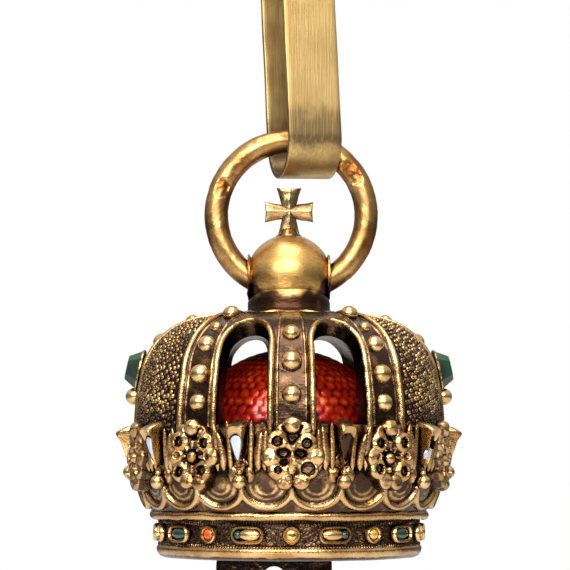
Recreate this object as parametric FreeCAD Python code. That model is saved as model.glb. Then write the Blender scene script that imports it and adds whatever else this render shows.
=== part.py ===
import FreeCAD, Part
import math
import os

# Crown suspension of an order's neck badge: a jewelled crown with orb and cross, the ring through
# the orb, and the long flat strap loop that the neck ribbon goes through.
# Millimetres. +Z is up, the crown's front faces -Y, +X is to the right.
# The pieces are drawn with the crown's axis on Z and the band's lower edge at height 0. At the end
# they are moved so that the origin is the inner apex of the strap loop's upper bend.

V = FreeCAD.Vector
Z_AXIS = V(0, 0, 1)
CENTRE = V(0, 0, 0)

# General
SEAT_GAP = 0.04          # between pieces that lie on each other
SECTOR_DEG = 18.0        # twenty equal sectors go round the crown

# Headband
BAND_FLOOR_R = 11.2
BAND_RIM_R = 12.0
BAND_INNER_R = 10.0
BAND_HEIGHT = 4.1
BAND_LOW_RIM_TOP = 1.05
BAND_LOW_RIM_SIDE = ((10.4, 0), (11.15, 0.42), (11.35, 0.8))
BAND_LOW_RIM_BACK = (11.32, 0.97)
BAND_HIGH_RIM_TOP_R = 11.5
BAND_HIGH_RIM_FOOT = 3.15
BAND_PLATE = 0.8         # thickness of the closing plate under the crown
BAND_GEM_Z = 2.12
BAND_GEM_R = 0.66        # radius of a round setting
BAND_GEM_LONG = 2.5      # length of an oblong setting
BAND_GEM_RISE = 0.42
GEM_EDGE_R = 0.2

# Cresting, the flared wall over the band
CREST_FOOT_Z = 4.14
CREST_TOP_Z = 7.2
CREST_OUTER = ((11.85, 4.14), (12.62, 5.6), (13.0, 7.2))
CREST_INNER = ((11.3, 4.14), (12.0, 5.6), (12.4, 7.2))
SCALLOP_R = 1.82         # from the middle of a scallop to the middle of its rim
SCALLOP_RIM_R = 0.24
SCALLOP_MID_Z = 6.2
SCALLOP_AXIS_R = 12.55
SCALLOP_LEAN_DEG = 20.0
DROP_WIDTH = 1.2
DROP_TOP_Z = 10.95
DROP_BOTTOM_Z = 8.0
DROP_TIP_R = 14.9        # where the hood sticks out most
DROP_BACK_R = 13.1
DROP_FOOT_R = 13.75
HOOD_TIP_Z = 10.55       # height at which the hood sticks out most
DROP_LOW_Z = 7.9         # the sloping body ends here, under the drop's point
DROP_BULGE_SIDE = 0.62   # the drop's side passes here, as a share of its half width
DROP_BULGE_HEIGHT = 0.32
DROP_SPARE = 0.5         # the outline's cutter reaches this far past the body
ENAMEL_TOP_Z = 10.0
ENAMEL_BOTTOM_Z = 8.25
ENAMEL_WIDTH = 0.82
ENAMEL_THICK = 0.22
BALL_R = 0.58
BALL_AXIS_R = 13.45
BALL_Z = 6.35
SIDE_BALL_AXIS_R = 13.7
SIDE_BALL_Z = 7.2
STEM_R = 0.3
STEM_LOW = (13.05, 6.5)  # distance from the axis and height of the stem's ends
STEM_HIGH = (13.43, 8.9)
LOST_ENAMEL_DEG = 18.0   # this setting has lost its enamel

# Rosettes
ROSETTE_Z = 8.0
ROSETTE_BACK_R = 13.1
ROSETTE_PLATE = 0.35
ROSETTE_CORE_R = 1.55
SOCKET_OFFSET = 1.16
SOCKET_R = 0.66
SOCKET_HOLE_R = 0.47
SOCKET_RISE = 0.75
SOCKET_FLOOR = 0.3
SOCKET_BEAD_R = 0.2
CENTRE_BEAD_R = 0.52
# sideways place, height from the middle and radius of each petal
PETALS = ((1.8, 0, 0.62), (-1.8, 0, 0.62), (0, 2.75, 0.68), (0.55, -2.0, 0.5), (-0.55, -2.0, 0.5),
          (0.55, 2.05, 0.42), (-0.55, 2.05, 0.42))
PETAL_DEPTH = 0.315      # petals' centres in front of the rosette's back
BACK_CUT = 8.0           # size of the block that trims a rosette's back flat

# Arches, a domed shell with four windows
SHELL_OUTER = (((12.5, 7.24), (12.97, 11.5), (12.55, 15.0)),
               ((12.55, 15.0), (11.3, 18.1), (8.4, 20.0)),
               ((8.4, 20.0), (6.4, 20.45), (4.2, 20.6)))
SHELL_INNER = (((11.6, 7.24), (12.07, 11.5), (11.68, 14.8)),
               ((11.68, 14.8), (10.5, 17.5), (7.9, 19.12)),
               ((7.9, 19.12), (6.2, 19.5), (4.2, 19.6)))
SHELL_TOP_Z = 20.6
SHELL_CEILING_Z = 19.6
SHELL_MIDDLE_Z = 11.5    # the rims rise away from this point of the axis
ARCH_AZIMUTHS = (0, 36, 90, 144, 180, -144, -90, -36)
WINDOW_AZIMUTHS = (18, 162, -162, -18)
WINDOW_WIDTH = 3.3
WINDOW_FOOT_Z = 10.3
WINDOW_SPRING_Z = 17.55
WINDOW_INNER_R = 7.5
WINDOW_DEPTH = 8.0
RIM_OUTER_DEG = 9.15
RIM_WIDTH_DEG = 2.2
RIM_RISE = 0.32
RIM_ROOT = 0.2
RIM_LOW_WALL = ((12.93, 10.2), (12.88, 13.0), (12.55, 15.0))
# radius from the axis, height and radius of each pearl
FRONT_PEARLS = ((12.5, 13.3, 0.72), (12.35, 15.95, 0.78), (11.0, 18.35, 0.45), (8.6, 20.2, 0.62))
FLANK_PEARLS = ((12.6, 12.7, 0.72), (12.4, 15.04, 0.78), (11.65, 17.5, 0.74), (10.4, 19.0, 0.5),
                (8.4, 20.3, 0.7))
SIDE_PEARLS = ((12.95, 13.6, 0.62), (10.75, 18.75, 0.7), (8.4, 20.2, 0.62))

# Green stones on the two side arches
STONE_AXIS_R = 12.62
STONE_Z = 15.95
STONE_TILT_DEG = 12.0
STONE_WIDTH = 2.9
STONE_HEIGHT = 3.3
STONE_TABLE = 0.62       # table's share of the girdle
STONE_CROWN = 1.1
STONE_PAVILION = 0.3
STONE_BACK = 0.86        # back's share of the girdle
STONE_CUT = 0.5          # corner cut, as a share of the half size

# Red cap
CAP_R = 8.4
CAP_WALL = 0.7
CAP_SPRING_Z = 11.2
CAP_RISE = 6.6
CAP_SHOULDER_R = 5.0     # radius of the shoulder's arc

# Orb, its collar and the bore for the ring
ORB_R = 3.72
ORB_Z = 24.1
COLLAR_R = 3.65
COLLAR_FOOT_R = 3.85
COLLAR_FOOT = 0.35
COLLAR_TOP_Z = 22.9
BORE_Z = 24.05
BORE_MID_R = 2.36
BORE_MOUTH_R = 1.52
BORE_MOUTH_X = 3.62

# Cross on the orb
CROSS_Z = 29.8
CROSS_ARM = 2.1
CROSS_WAIST = 0.75
CROSS_END = 1.65
CROSS_FOOT_WIDTH = 1.7
CROSS_EDGE = 0.5
CROSS_RIDGE = 1.1
CROSS_WAIST_RIDGE = 1.0

# Suspension ring
RING_X = 0.2
RING_Z = 29.55
RING_MEAN_R = 6.55
RING_WIRE_R = 1.06

# Strap loop
STRAP_WIDTH = 4.8
STRAP_THICK = 0.5
STRAP_GAP = 5.9          # clear width between the two leaves
LOOP_LENGTH = 58.0
LOOP_X = 1.3             # lower bend's centre
LOOP_LOW_Z = 32.45       # lowest point of the strap
LOOP_YAW_DEG = 16.0
LOOP_LEAN_DEG = 2.6

# Hanger under the band
HANGER_WIDTH = 9.8
HANGER_DEPTH = 4.0
HANGER_HEIGHT = 3.2
HANGER_X = -1.3
HANGER_CORNER = 1.2
HANGER_BORE_R = 1.0
HANGER_BORE_Z = -1.75

LOOP_INNER_R = STRAP_GAP / 2
LOOP_OUTER_R = LOOP_INNER_R + STRAP_THICK
LOOP_LEAN = math.radians(LOOP_LEAN_DEG)
LOOP_AXIS = V(-math.sin(LOOP_LEAN), 0, math.cos(LOOP_LEAN))
BEND_LOW = V(LOOP_X, 0, LOOP_LOW_Z + LOOP_OUTER_R * math.cos(LOOP_LEAN))
BEND_SPAN = LOOP_LENGTH - 2 * LOOP_OUTER_R
HANG_POINT = BEND_LOW + LOOP_AXIS * (BEND_SPAN + LOOP_INNER_R)


def section_point(radius, height):
    """A point of a section drawn in the plane Y = 0."""
    return V(radius, 0, height)


def arc_edge(points):
    """An arc through three points given as radius and height."""
    start, middle, end = (section_point(*p) for p in points)
    return Part.Arc(start, middle, end).toShape()


def polyline(points):
    """Straight edges through a list of vectors."""
    return [Part.makeLine(a, b) for a, b in zip(points, points[1:])]


def revolved(edges, degrees=360.0):
    """The solid swept by a closed section turned about the crown's axis."""
    wire = Part.Wire(Part.__sortEdges__(edges))
    return Part.Face(wire).revolve(CENTRE, Z_AXIS, degrees)


def turned(shape, azimuth):
    """A copy of a shape built at the front, turned round the axis, to the right when positive."""
    copy = shape.copy()
    copy.rotate(CENTRE, Z_AXIS, azimuth)
    return copy


def plain_solid(shape):
    """The one solid that a cut, common or fillet leaves inside a compound."""
    return shape.Solids[0]


def one_solid(shape):
    """The shape as a plain solid, with faces that continue each other joined."""
    return plain_solid(shape.removeSplitter())


def front_cylinder(radius, x, z, near_r, far_r):
    """A round peg that points outwards at the front."""
    return Part.makeCylinder(radius, far_r - near_r, V(x, -near_r, z), V(0, -1, 0))


def drop_outline(width, top_z, bottom_z):
    """A round-headed outline that runs to a point below, as a closed wire at the front."""
    half = width / 2
    shoulder = top_z - half
    left = V(-half, 0, shoulder)
    right = V(half, 0, shoulder)
    tip = V(0, 0, bottom_z)
    bulge = V(half * DROP_BULGE_SIDE, 0, bottom_z + (shoulder - bottom_z) * DROP_BULGE_HEIGHT)
    right_side = Part.Arc(tip, bulge, right).toShape()
    head = Part.Arc(right, V(0, 0, top_z), left).toShape()
    left_side = Part.Arc(left, V(-bulge.x, 0, bulge.z), tip).toShape()
    return Part.Wire([right_side, head, left_side])


def drop_prism(width, top_z, bottom_z):
    """The drop outline carried outwards through the whole depth of a setting."""
    outline = drop_outline(width, top_z, bottom_z)
    outline.translate(V(0, DROP_SPARE - DROP_BACK_R, 0))
    return Part.Face(outline).extrude(V(0, DROP_BACK_R - DROP_TIP_R - 3 * DROP_SPARE, 0))


def side_prism(points, width):
    """A polygon of distance and height values, given a width from side to side."""
    corners = [V(-width / 2, -r, z) for r, z in points]
    wire = Part.Wire(polyline(corners + corners[:1]))
    return Part.Face(wire).extrude(V(width, 0, 0))


def headband():
    """The band with its two rims, its floor between them and the plate that closes it below."""
    foot, _, shoulder = BAND_LOW_RIM_SIDE
    edges = polyline([section_point(0, 0), section_point(*foot)])
    edges.append(arc_edge(BAND_LOW_RIM_SIDE))
    edges.append(arc_edge((shoulder, BAND_LOW_RIM_BACK, (BAND_FLOOR_R, BAND_LOW_RIM_TOP))))
    edges += polyline([section_point(BAND_FLOOR_R, BAND_LOW_RIM_TOP),
                       section_point(BAND_FLOOR_R, BAND_HIGH_RIM_FOOT)])
    rim_mid_z = (BAND_HIGH_RIM_FOOT + BAND_HEIGHT) / 2
    edges.append(arc_edge(((BAND_FLOOR_R, BAND_HIGH_RIM_FOOT), (BAND_RIM_R, rim_mid_z),
                           (BAND_HIGH_RIM_TOP_R, BAND_HEIGHT))))
    edges += polyline([section_point(BAND_HIGH_RIM_TOP_R, BAND_HEIGHT),
                       section_point(BAND_INNER_R, BAND_HEIGHT),
                       section_point(BAND_INNER_R, BAND_PLATE),
                       section_point(0, BAND_PLATE),
                       section_point(0, 0)])
    return revolved(edges)


def round_gem():
    """A round cabochon on the band's floor, at the front."""
    near_r = BAND_FLOOR_R + SEAT_GAP
    peg = front_cylinder(BAND_GEM_R, 0, BAND_GEM_Z, near_r, near_r + BAND_GEM_RISE)
    far_edges = [e for e in peg.Edges if e.BoundBox.YMax < -near_r - BAND_GEM_RISE / 2 and
                 e.Length > BAND_GEM_R]
    return plain_solid(peg.makeFillet(GEM_EDGE_R, far_edges))


def oblong_gem():
    """An oblong cabochon on the band's floor, at the front."""
    near_r = BAND_FLOOR_R + SEAT_GAP
    half = BAND_GEM_LONG / 2 - BAND_GEM_R
    z0, z1 = BAND_GEM_Z - BAND_GEM_R, BAND_GEM_Z + BAND_GEM_R
    y = -near_r
    lower = Part.makeLine(V(-half, y, z0), V(half, y, z0))
    right = Part.Arc(V(half, y, z0), V(half + BAND_GEM_R, y, BAND_GEM_Z), V(half, y, z1)).toShape()
    upper = Part.makeLine(V(half, y, z1), V(-half, y, z1))
    left = Part.Arc(V(-half, y, z1), V(-half - BAND_GEM_R, y, BAND_GEM_Z), V(-half, y, z0)).toShape()
    slab = Part.Face(Part.Wire([lower, right, upper, left])).extrude(V(0, -BAND_GEM_RISE, 0))
    far_edges = [e for e in slab.Edges if e.BoundBox.YMax < y - BAND_GEM_RISE / 2]
    return plain_solid(slab.makeFillet(GEM_EDGE_R, far_edges))


def crest_wall():
    """The plain flared wall that carries the scallops."""
    outer_foot = section_point(*CREST_OUTER[0])
    outer_top = section_point(*CREST_OUTER[2])
    inner_foot = section_point(*CREST_INNER[0])
    inner_top = section_point(*CREST_INNER[2])
    edges = [arc_edge(CREST_OUTER), arc_edge(CREST_INNER),
             Part.makeLine(outer_foot, inner_foot), Part.makeLine(outer_top, inner_top)]
    return revolved(edges)


def scallop():
    """The raised half-round rim of one scallop, at the front."""
    ring = Part.makeTorus(SCALLOP_R, SCALLOP_RIM_R, CENTRE, V(0, 1, 0))
    lower_half = Part.makeBox(2 * SCALLOP_R + 2, 2, SCALLOP_R + 1, V(-SCALLOP_R - 1, -1, -SCALLOP_R - 1))
    rim = ring.common(lower_half)
    rim.rotate(CENTRE, V(1, 0, 0), SCALLOP_LEAN_DEG)
    rim.translate(V(0, -SCALLOP_AXIS_R, SCALLOP_MID_Z))
    return rim


def drop_setting(ball_r, ball_z):
    """One gold drop setting with its hood, ball and stem, at the front."""
    above = DROP_TOP_Z + 2 * DROP_SPARE
    body = side_prism(((DROP_BACK_R, above), (DROP_TIP_R - DROP_SPARE, above),
                       (DROP_TIP_R, HOOD_TIP_Z), (DROP_FOOT_R, DROP_LOW_Z),
                       (DROP_BACK_R, DROP_LOW_Z)), DROP_WIDTH + 2 * DROP_SPARE)
    setting = body.common(drop_prism(DROP_WIDTH, DROP_TOP_Z, DROP_BOTTOM_Z))
    ball = Part.makeSphere(BALL_R, V(0, -ball_r, ball_z))
    low, high = (V(0, -r, z) for r, z in (STEM_LOW, STEM_HIGH))
    stem = Part.makeCylinder(STEM_R, (high - low).Length, low, high - low)
    return setting.fuse([ball, stem])


def cresting():
    """The flared wall with its twenty scallops, ten drop settings and ten balls, cast as one."""
    pieces = []
    for sector in range(20):
        pieces.append(turned(scallop(), SECTOR_DEG * (sector + 0.5)))
    plain = drop_setting(BALL_AXIS_R, BALL_Z)
    side = drop_setting(SIDE_BALL_AXIS_R, SIDE_BALL_Z)
    for azimuth in drop_azimuths():
        pieces.append(turned(side if abs(azimuth) == 90 else plain, azimuth))
    return one_solid(crest_wall().fuse(pieces))


def drop_azimuths():
    """The ten drops stand between the ten rosettes."""
    return [18 + 36 * k if 18 + 36 * k <= 180 else 18 + 36 * k - 360 for k in range(10)]


def enamel_drop():
    """The white enamel in one setting, a thin drop on the setting's sloping face."""
    slope = math.atan2(DROP_TIP_R - DROP_FOOT_R, HOOD_TIP_Z - DROP_LOW_Z)
    gap = SEAT_GAP / math.cos(slope)
    far = gap + ENAMEL_THICK / math.cos(slope)
    slab = side_prism(((DROP_FOOT_R + gap, DROP_LOW_Z), (DROP_FOOT_R + far, DROP_LOW_Z),
                       (DROP_TIP_R + far, HOOD_TIP_Z), (DROP_TIP_R + gap, HOOD_TIP_Z)), DROP_WIDTH)
    outline = drop_prism(ENAMEL_WIDTH, ENAMEL_TOP_Z, ENAMEL_BOTTOM_Z)
    return plain_solid(slab.common(outline))


def petal(x, z, radius):
    """A rounded petal: a ball half sunk in the rosette's plate."""
    return Part.makeSphere(radius, V(x, -ROSETTE_BACK_R - PETAL_DEPTH, ROSETTE_Z + z))


def rosette():
    """One cast rosette with four sockets, petals between them and a bead in the middle."""
    near_r = ROSETTE_BACK_R
    face_r = near_r + ROSETTE_PLATE
    pieces = [petal(*place) for place in PETALS]
    corners = [(sx * SOCKET_OFFSET, sz * SOCKET_OFFSET) for sx in (-1, 1) for sz in (-1, 1)]
    for x, z in corners:
        pieces.append(front_cylinder(SOCKET_R, x, ROSETTE_Z + z, near_r, near_r + SOCKET_RISE))
    plate = front_cylinder(ROSETTE_CORE_R, 0, ROSETTE_Z, near_r, face_r)
    solid = plate.fuse(pieces)
    behind = Part.makeBox(BACK_CUT, BACK_CUT, BACK_CUT, V(-BACK_CUT / 2, -near_r, ROSETTE_Z - BACK_CUT / 2))
    solid = solid.cut(behind)
    holes = [front_cylinder(SOCKET_HOLE_R, x, ROSETTE_Z + z, near_r + SOCKET_FLOOR, face_r + 1)
             for x, z in corners]
    solid = solid.cut(holes)
    beads = [Part.makeSphere(SOCKET_BEAD_R, V(x, -near_r - SOCKET_FLOOR, ROSETTE_Z + z))
             for x, z in corners]
    beads.append(Part.makeSphere(CENTRE_BEAD_R, V(0, -face_r, ROSETTE_Z)))
    return one_solid(solid.fuse(beads))


def shell_body():
    """The plain domed shell that the arches and windows are worked from."""
    edges = [arc_edge(points) for points in SHELL_OUTER + SHELL_INNER]
    edges += polyline([section_point(*SHELL_OUTER[2][2]), section_point(0, SHELL_TOP_Z),
                       section_point(0, SHELL_CEILING_Z), section_point(*SHELL_INNER[2][2])])
    edges += polyline([section_point(*SHELL_INNER[0][0]), section_point(*SHELL_OUTER[0][0])])
    return revolved(edges)


def window():
    """The round-headed window's cutter, at the front."""
    half = WINDOW_WIDTH / 2
    y = -WINDOW_INNER_R
    foot = [V(-half, y, WINDOW_SPRING_Z), V(-half, y, WINDOW_FOOT_Z), V(half, y, WINDOW_FOOT_Z),
            V(half, y, WINDOW_SPRING_Z)]
    head = Part.Arc(foot[3], V(0, y, WINDOW_SPRING_Z + half), foot[0]).toShape()
    face = Part.Face(Part.Wire(polyline(foot) + [head]))
    return face.extrude(V(0, -WINDOW_DEPTH, 0))


def moved_points(points, outwards):
    """A profile's points moved outwards from the middle of the shell."""
    moved = []
    for r, z in points:
        rise = max(0.0, z - SHELL_MIDDLE_Z)
        length = math.hypot(r, rise)
        moved.append((r + outwards * r / length, z + outwards * rise / length))
    return moved


def arch_rim():
    """A raised rim along one edge of an arch, from the shell's section turned a little."""
    profiles = (RIM_LOW_WALL, SHELL_OUTER[1], SHELL_OUTER[2])
    outer = [moved_points(points, RIM_RISE) for points in profiles]
    inner = [moved_points(points, -RIM_ROOT) for points in profiles]
    edges = [arc_edge(points) for points in outer + inner]
    edges.append(Part.makeLine(section_point(*outer[0][0]), section_point(*inner[0][0])))
    edges.append(Part.makeLine(section_point(*outer[2][2]), section_point(*inner[2][2])))
    rim = revolved(edges, RIM_WIDTH_DEG)
    rim.rotate(CENTRE, Z_AXIS, -90)
    return rim


def pearls(azimuth):
    """The row of pearls on the arch at an azimuth, as shapes turned to their place."""
    if abs(azimuth) == 90:
        rows = SIDE_PEARLS
    elif azimuth in (0, 180):
        rows = FRONT_PEARLS
    else:
        rows = FLANK_PEARLS
    return [turned(Part.makeSphere(size, V(0, -r, z)), azimuth) for r, z, size in rows]


def arches():
    """The domed shell with its windows, the rims of its eight arches and their pearls."""
    shell = shell_body().cut([turned(window(), azimuth) for azimuth in WINDOW_AZIMUTHS])
    rims = []
    beads = []
    for azimuth in ARCH_AZIMUTHS:
        rims.append(turned(arch_rim(), azimuth + RIM_OUTER_DEG - RIM_WIDTH_DEG))
        rims.append(turned(arch_rim(), azimuth - RIM_OUTER_DEG))
        beads += pearls(azimuth)
    return one_solid(shell.fuse(rims).fuse(beads))


def octagon(width, height, level):
    """An eight-cornered outline at a height above the girdle."""
    w, h = width / 2, height / 2
    cut = min(w, h) * STONE_CUT
    points = [(w, h - cut), (w - cut, h), (cut - w, h), (-w, h - cut),
              (-w, cut - h), (cut - w, -h), (w - cut, -h), (w, cut - h)]
    corners = [V(x, -level, z) for x, z in points]
    return Part.makePolygon(corners + corners[:1])


def green_stone():
    """A cut stone with a table and eight crown facets, at the front."""
    girdle = octagon(STONE_WIDTH, STONE_HEIGHT, 0)
    table = octagon(STONE_WIDTH * STONE_TABLE, STONE_HEIGHT * STONE_TABLE, STONE_CROWN)
    back = octagon(STONE_WIDTH * STONE_BACK, STONE_HEIGHT * STONE_BACK, -STONE_PAVILION)
    crown = Part.makeLoft([girdle, table], True, True)
    pavilion = Part.makeLoft([back, girdle], True, True)
    stone = one_solid(crown.fuse(pavilion))
    stone.rotate(CENTRE, V(1, 0, 0), -STONE_TILT_DEG)
    stone.translate(V(0, -STONE_AXIS_R - STONE_PAVILION, STONE_Z))
    return stone


def cap_profile(offset):
    """The cap's shoulder and crown arcs, moved inwards by an offset, and their outer end."""
    centre_r = CAP_R - CAP_SHOULDER_R
    crown_r = (CAP_RISE ** 2 + centre_r ** 2 - CAP_SHOULDER_R ** 2) / (2 * (CAP_RISE - CAP_SHOULDER_R))
    crown_z = CAP_SPRING_Z + CAP_RISE - crown_r
    meeting = math.atan2(centre_r, CAP_SPRING_Z - crown_z)

    def on_shoulder(angle):
        radius = CAP_SHOULDER_R - offset
        return centre_r + radius * math.sin(angle), CAP_SPRING_Z + radius * math.cos(angle)

    def on_crown(angle):
        radius = crown_r - offset
        return radius * math.sin(angle), crown_z + radius * math.cos(angle)

    right = math.pi / 2
    shoulder = [on_shoulder(angle) for angle in (right, (right + meeting) / 2, meeting)]
    crown = [on_crown(angle) for angle in (meeting, meeting / 2, 0)]
    return shoulder, crown


def red_cap():
    """The enamelled dome inside the arches, a thin wall standing on the band's plate."""
    foot_z = BAND_PLATE + SEAT_GAP
    edges = []
    ends = []
    for offset in (0, CAP_WALL):
        shoulder, crown = cap_profile(offset)
        foot = section_point(CAP_R - offset, foot_z)
        edges += [arc_edge(shoulder), arc_edge(crown), Part.makeLine(foot, section_point(*shoulder[0]))]
        ends.append((foot, section_point(*crown[2])))
    (outer_foot, outer_top), (inner_foot, inner_top) = ends
    edges += [Part.makeLine(outer_foot, inner_foot), Part.makeLine(outer_top, inner_top)]
    return revolved(edges)


def orb():
    """The hollow orb on its collar, with a barrel-shaped bore for the ring."""
    foot_z = SHELL_TOP_Z + SEAT_GAP
    ball = Part.makeSphere(ORB_R, V(0, 0, ORB_Z))
    collar = Part.makeCylinder(COLLAR_R, COLLAR_TOP_Z - foot_z, V(0, 0, foot_z))
    flange = Part.makeCylinder(COLLAR_FOOT_R, COLLAR_FOOT, V(0, 0, foot_z))
    mouth_left = V(-BORE_MOUTH_X, 0, BORE_Z + BORE_MOUTH_R)
    mouth_right = V(BORE_MOUTH_X, 0, BORE_Z + BORE_MOUTH_R)
    top = Part.Arc(mouth_left, V(0, 0, BORE_Z + BORE_MID_R), mouth_right).toShape()
    ends = polyline([mouth_right, V(BORE_MOUTH_X, 0, BORE_Z), V(-BORE_MOUTH_X, 0, BORE_Z), mouth_left])
    bore = Part.Face(Part.Wire([top] + ends)).revolve(V(0, 0, BORE_Z), V(1, 0, 0), 360)
    mouths = Part.makeCylinder(BORE_MOUTH_R, 2 * ORB_R + 2, V(-ORB_R - 1, 0, BORE_Z), V(1, 0, 0))
    below = Part.makeCylinder(COLLAR_R, foot_z - ORB_Z + ORB_R, V(0, 0, ORB_Z - ORB_R))
    return one_solid(ball.fuse([collar, flange]).cut([bore, mouths, below]))


def cross_arm(length, end_width):
    """One arm that widens outwards, with a ridge along its middle on both faces."""
    def section(width, ridge, z):
        points = [(width / 2, CROSS_EDGE / 2), (0, ridge / 2), (-width / 2, CROSS_EDGE / 2),
                  (-width / 2, -CROSS_EDGE / 2), (0, -ridge / 2), (width / 2, -CROSS_EDGE / 2)]
        corners = [V(x, y, z) for x, y in points]
        return Part.makePolygon(corners + corners[:1])
    return Part.makeLoft([section(CROSS_WAIST, CROSS_WAIST_RIDGE, 0),
                          section(end_width, CROSS_RIDGE, length)], True, True)


def orb_cross():
    """The small cross with flared arms that stands on the orb."""
    foot = CROSS_Z - ORB_Z - ORB_R - SEAT_GAP
    arms = []
    for turn in (0, 90, -90):
        arm = cross_arm(CROSS_ARM, CROSS_END)
        arm.rotate(CENTRE, V(0, 1, 0), turn)
        arms.append(arm)
    leg = cross_arm(foot, CROSS_FOOT_WIDTH)
    leg.rotate(CENTRE, V(0, 1, 0), 180)
    cross = one_solid(leg.fuse(arms))
    cross.translate(V(0, 0, CROSS_Z))
    return cross


def suspension_ring():
    """The plain round ring, upright in the plane Y = 0."""
    return Part.makeTorus(RING_MEAN_R, RING_WIRE_R, V(RING_X, 0, RING_Z), V(0, 1, 0))


def stadium(radius, span, x):
    """A long round-ended outline in the plane of an X, its lower centre at the origin."""
    left, right = -radius, radius
    low = Part.Arc(V(x, left, 0), V(x, 0, -radius), V(x, right, 0)).toShape()
    up = Part.makeLine(V(x, right, 0), V(x, right, span))
    high = Part.Arc(V(x, right, span), V(x, 0, span + radius), V(x, left, span)).toShape()
    down = Part.makeLine(V(x, left, span), V(x, left, 0))
    return Part.Face(Part.Wire([low, up, high, down]))


def ribbon_loop():
    """The flat strap bent to a long closed loop, turned and leaned as it hangs in the ring."""
    start = -STRAP_WIDTH / 2
    outer = stadium(LOOP_OUTER_R, BEND_SPAN, start).extrude(V(STRAP_WIDTH, 0, 0))
    inner = stadium(LOOP_INNER_R, BEND_SPAN, start - 1).extrude(V(STRAP_WIDTH + 2, 0, 0))
    loop = outer.cut(inner)
    loop.rotate(CENTRE, Z_AXIS, LOOP_YAW_DEG)
    loop.rotate(CENTRE, V(0, 1, 0), -LOOP_LEAN_DEG)
    loop.translate(BEND_LOW)
    return one_solid(loop)


def badge_hanger():
    """The plain hanger under the band, with a bore from front to back for the badge's pin."""
    top_z = -SEAT_GAP
    block = Part.makeBox(HANGER_WIDTH, HANGER_DEPTH, HANGER_HEIGHT,
                         V(HANGER_X - HANGER_WIDTH / 2, -HANGER_DEPTH / 2, top_z - HANGER_HEIGHT))
    low_corners = [e for e in block.Edges if e.BoundBox.ZMax < top_z - HANGER_HEIGHT / 2 and
                   e.BoundBox.YLength > HANGER_DEPTH / 2]
    block = block.makeFillet(HANGER_CORNER, low_corners)
    bore = Part.makeCylinder(HANGER_BORE_R, HANGER_DEPTH + 2,
                             V(HANGER_X, -HANGER_DEPTH / 2 - 1, HANGER_BORE_Z), V(0, 1, 0))
    return plain_solid(block.cut(bore))


def numbered(stem, index):
    """A node's name with its two-figure number."""
    return f"{stem}_{index:02d}"


def build_nodes():
    """Every node's name and solid, drawn round the crown's axis."""
    nodes = {
        "ribbon_loop": ribbon_loop(),
        "suspension_ring": suspension_ring(),
        "orb": orb(),
        "orb_cross": orb_cross(),
        "crown_arches": arches(),
        "crown_cresting": cresting(),
        "crown_headband": headband(),
        "red_cap": red_cap(),
        "badge_hanger": badge_hanger(),
        "green_stone_left": turned(green_stone(), -90),
        "green_stone_right": turned(green_stone(), 90),
    }
    flower = rosette()
    for k in range(10):
        nodes[numbered("rosette", k + 1)] = turned(flower, 36 * k)
    enamel = enamel_drop()
    for k, azimuth in enumerate(drop_azimuths()):
        if azimuth != LOST_ENAMEL_DEG:
            nodes[numbered("enamel_drop", k + 1)] = turned(enamel, azimuth)
    small_round, small_oblong = round_gem(), oblong_gem()
    for k in range(20):
        gem = small_oblong if k % 2 else small_round
        nodes[numbered("band_gem", k + 1)] = turned(gem, SECTOR_DEG * k)
    return nodes


def main():
    os.makedirs("parts", exist_ok=True)
    total = 0.0
    for name, solid in build_nodes().items():
        solid.translate(HANG_POINT * -1)
        total += solid.Volume
        box = solid.BoundBox
        print(f"{name:18s} {solid.ShapeType} valid={solid.isValid()} solids={len(solid.Solids)} "
              f"volume={solid.Volume:.2f} z={box.ZMin:.2f}..{box.ZMax:.2f}")
        solid.exportStep(os.path.join("parts", name + ".step"))
    print(f"all {total:.1f} mm3, hang point {HANG_POINT}, lower bend {BEND_LOW - HANG_POINT}")


main()
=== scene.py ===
import logging
import math
from dataclasses import dataclass, field
from enum import Enum

import bpy
import numpy as np
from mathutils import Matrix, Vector


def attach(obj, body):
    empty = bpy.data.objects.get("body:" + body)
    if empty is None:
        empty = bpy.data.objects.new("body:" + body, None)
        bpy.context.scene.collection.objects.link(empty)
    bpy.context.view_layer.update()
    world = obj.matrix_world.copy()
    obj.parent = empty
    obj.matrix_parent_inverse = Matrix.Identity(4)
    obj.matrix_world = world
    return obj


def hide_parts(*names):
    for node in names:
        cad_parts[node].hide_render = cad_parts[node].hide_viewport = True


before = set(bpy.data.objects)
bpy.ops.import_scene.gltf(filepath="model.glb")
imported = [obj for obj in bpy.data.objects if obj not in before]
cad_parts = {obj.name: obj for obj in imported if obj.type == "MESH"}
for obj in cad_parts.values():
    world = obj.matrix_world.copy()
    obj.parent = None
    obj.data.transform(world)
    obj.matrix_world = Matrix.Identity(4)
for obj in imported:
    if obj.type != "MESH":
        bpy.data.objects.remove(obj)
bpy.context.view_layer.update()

LOG = logging.getLogger("neck_badge")
HANG_POINT = np.array([-1.1518695, 0.0, 89.8908078])
MM = 0.001


class Body(Enum):
    """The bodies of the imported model."""

    LOOP = "loop"
    RING = "ring"
    CROWN = "crown"


class Slot(Enum):
    """The record's material slots."""

    OLD_GILT = "old_gilt"
    RING_GOLD = "ring_gold"
    STRAP_GOLD = "strap_gold"
    DARK_PATINA = "dark_patina"
    RED_ENAMEL = "red_enamel"
    WHITE_ENAMEL = "white_enamel"
    DARK_GREEN = "dark_green_enamel"
    ORANGE = "orange_enamel"


# ---------------------------------------------------------------- shapes worked out with numpy


def smoothstep(low: float, high: float, value: np.ndarray) -> np.ndarray:
    """Soft step: 0 below low, 1 above high, and the cubic 3t^2 - 2t^3 between."""
    t = np.clip((np.asarray(value, float) - low) / (high - low), 0.0, 1.0)
    return t * t * (3.0 - 2.0 * t)


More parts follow.
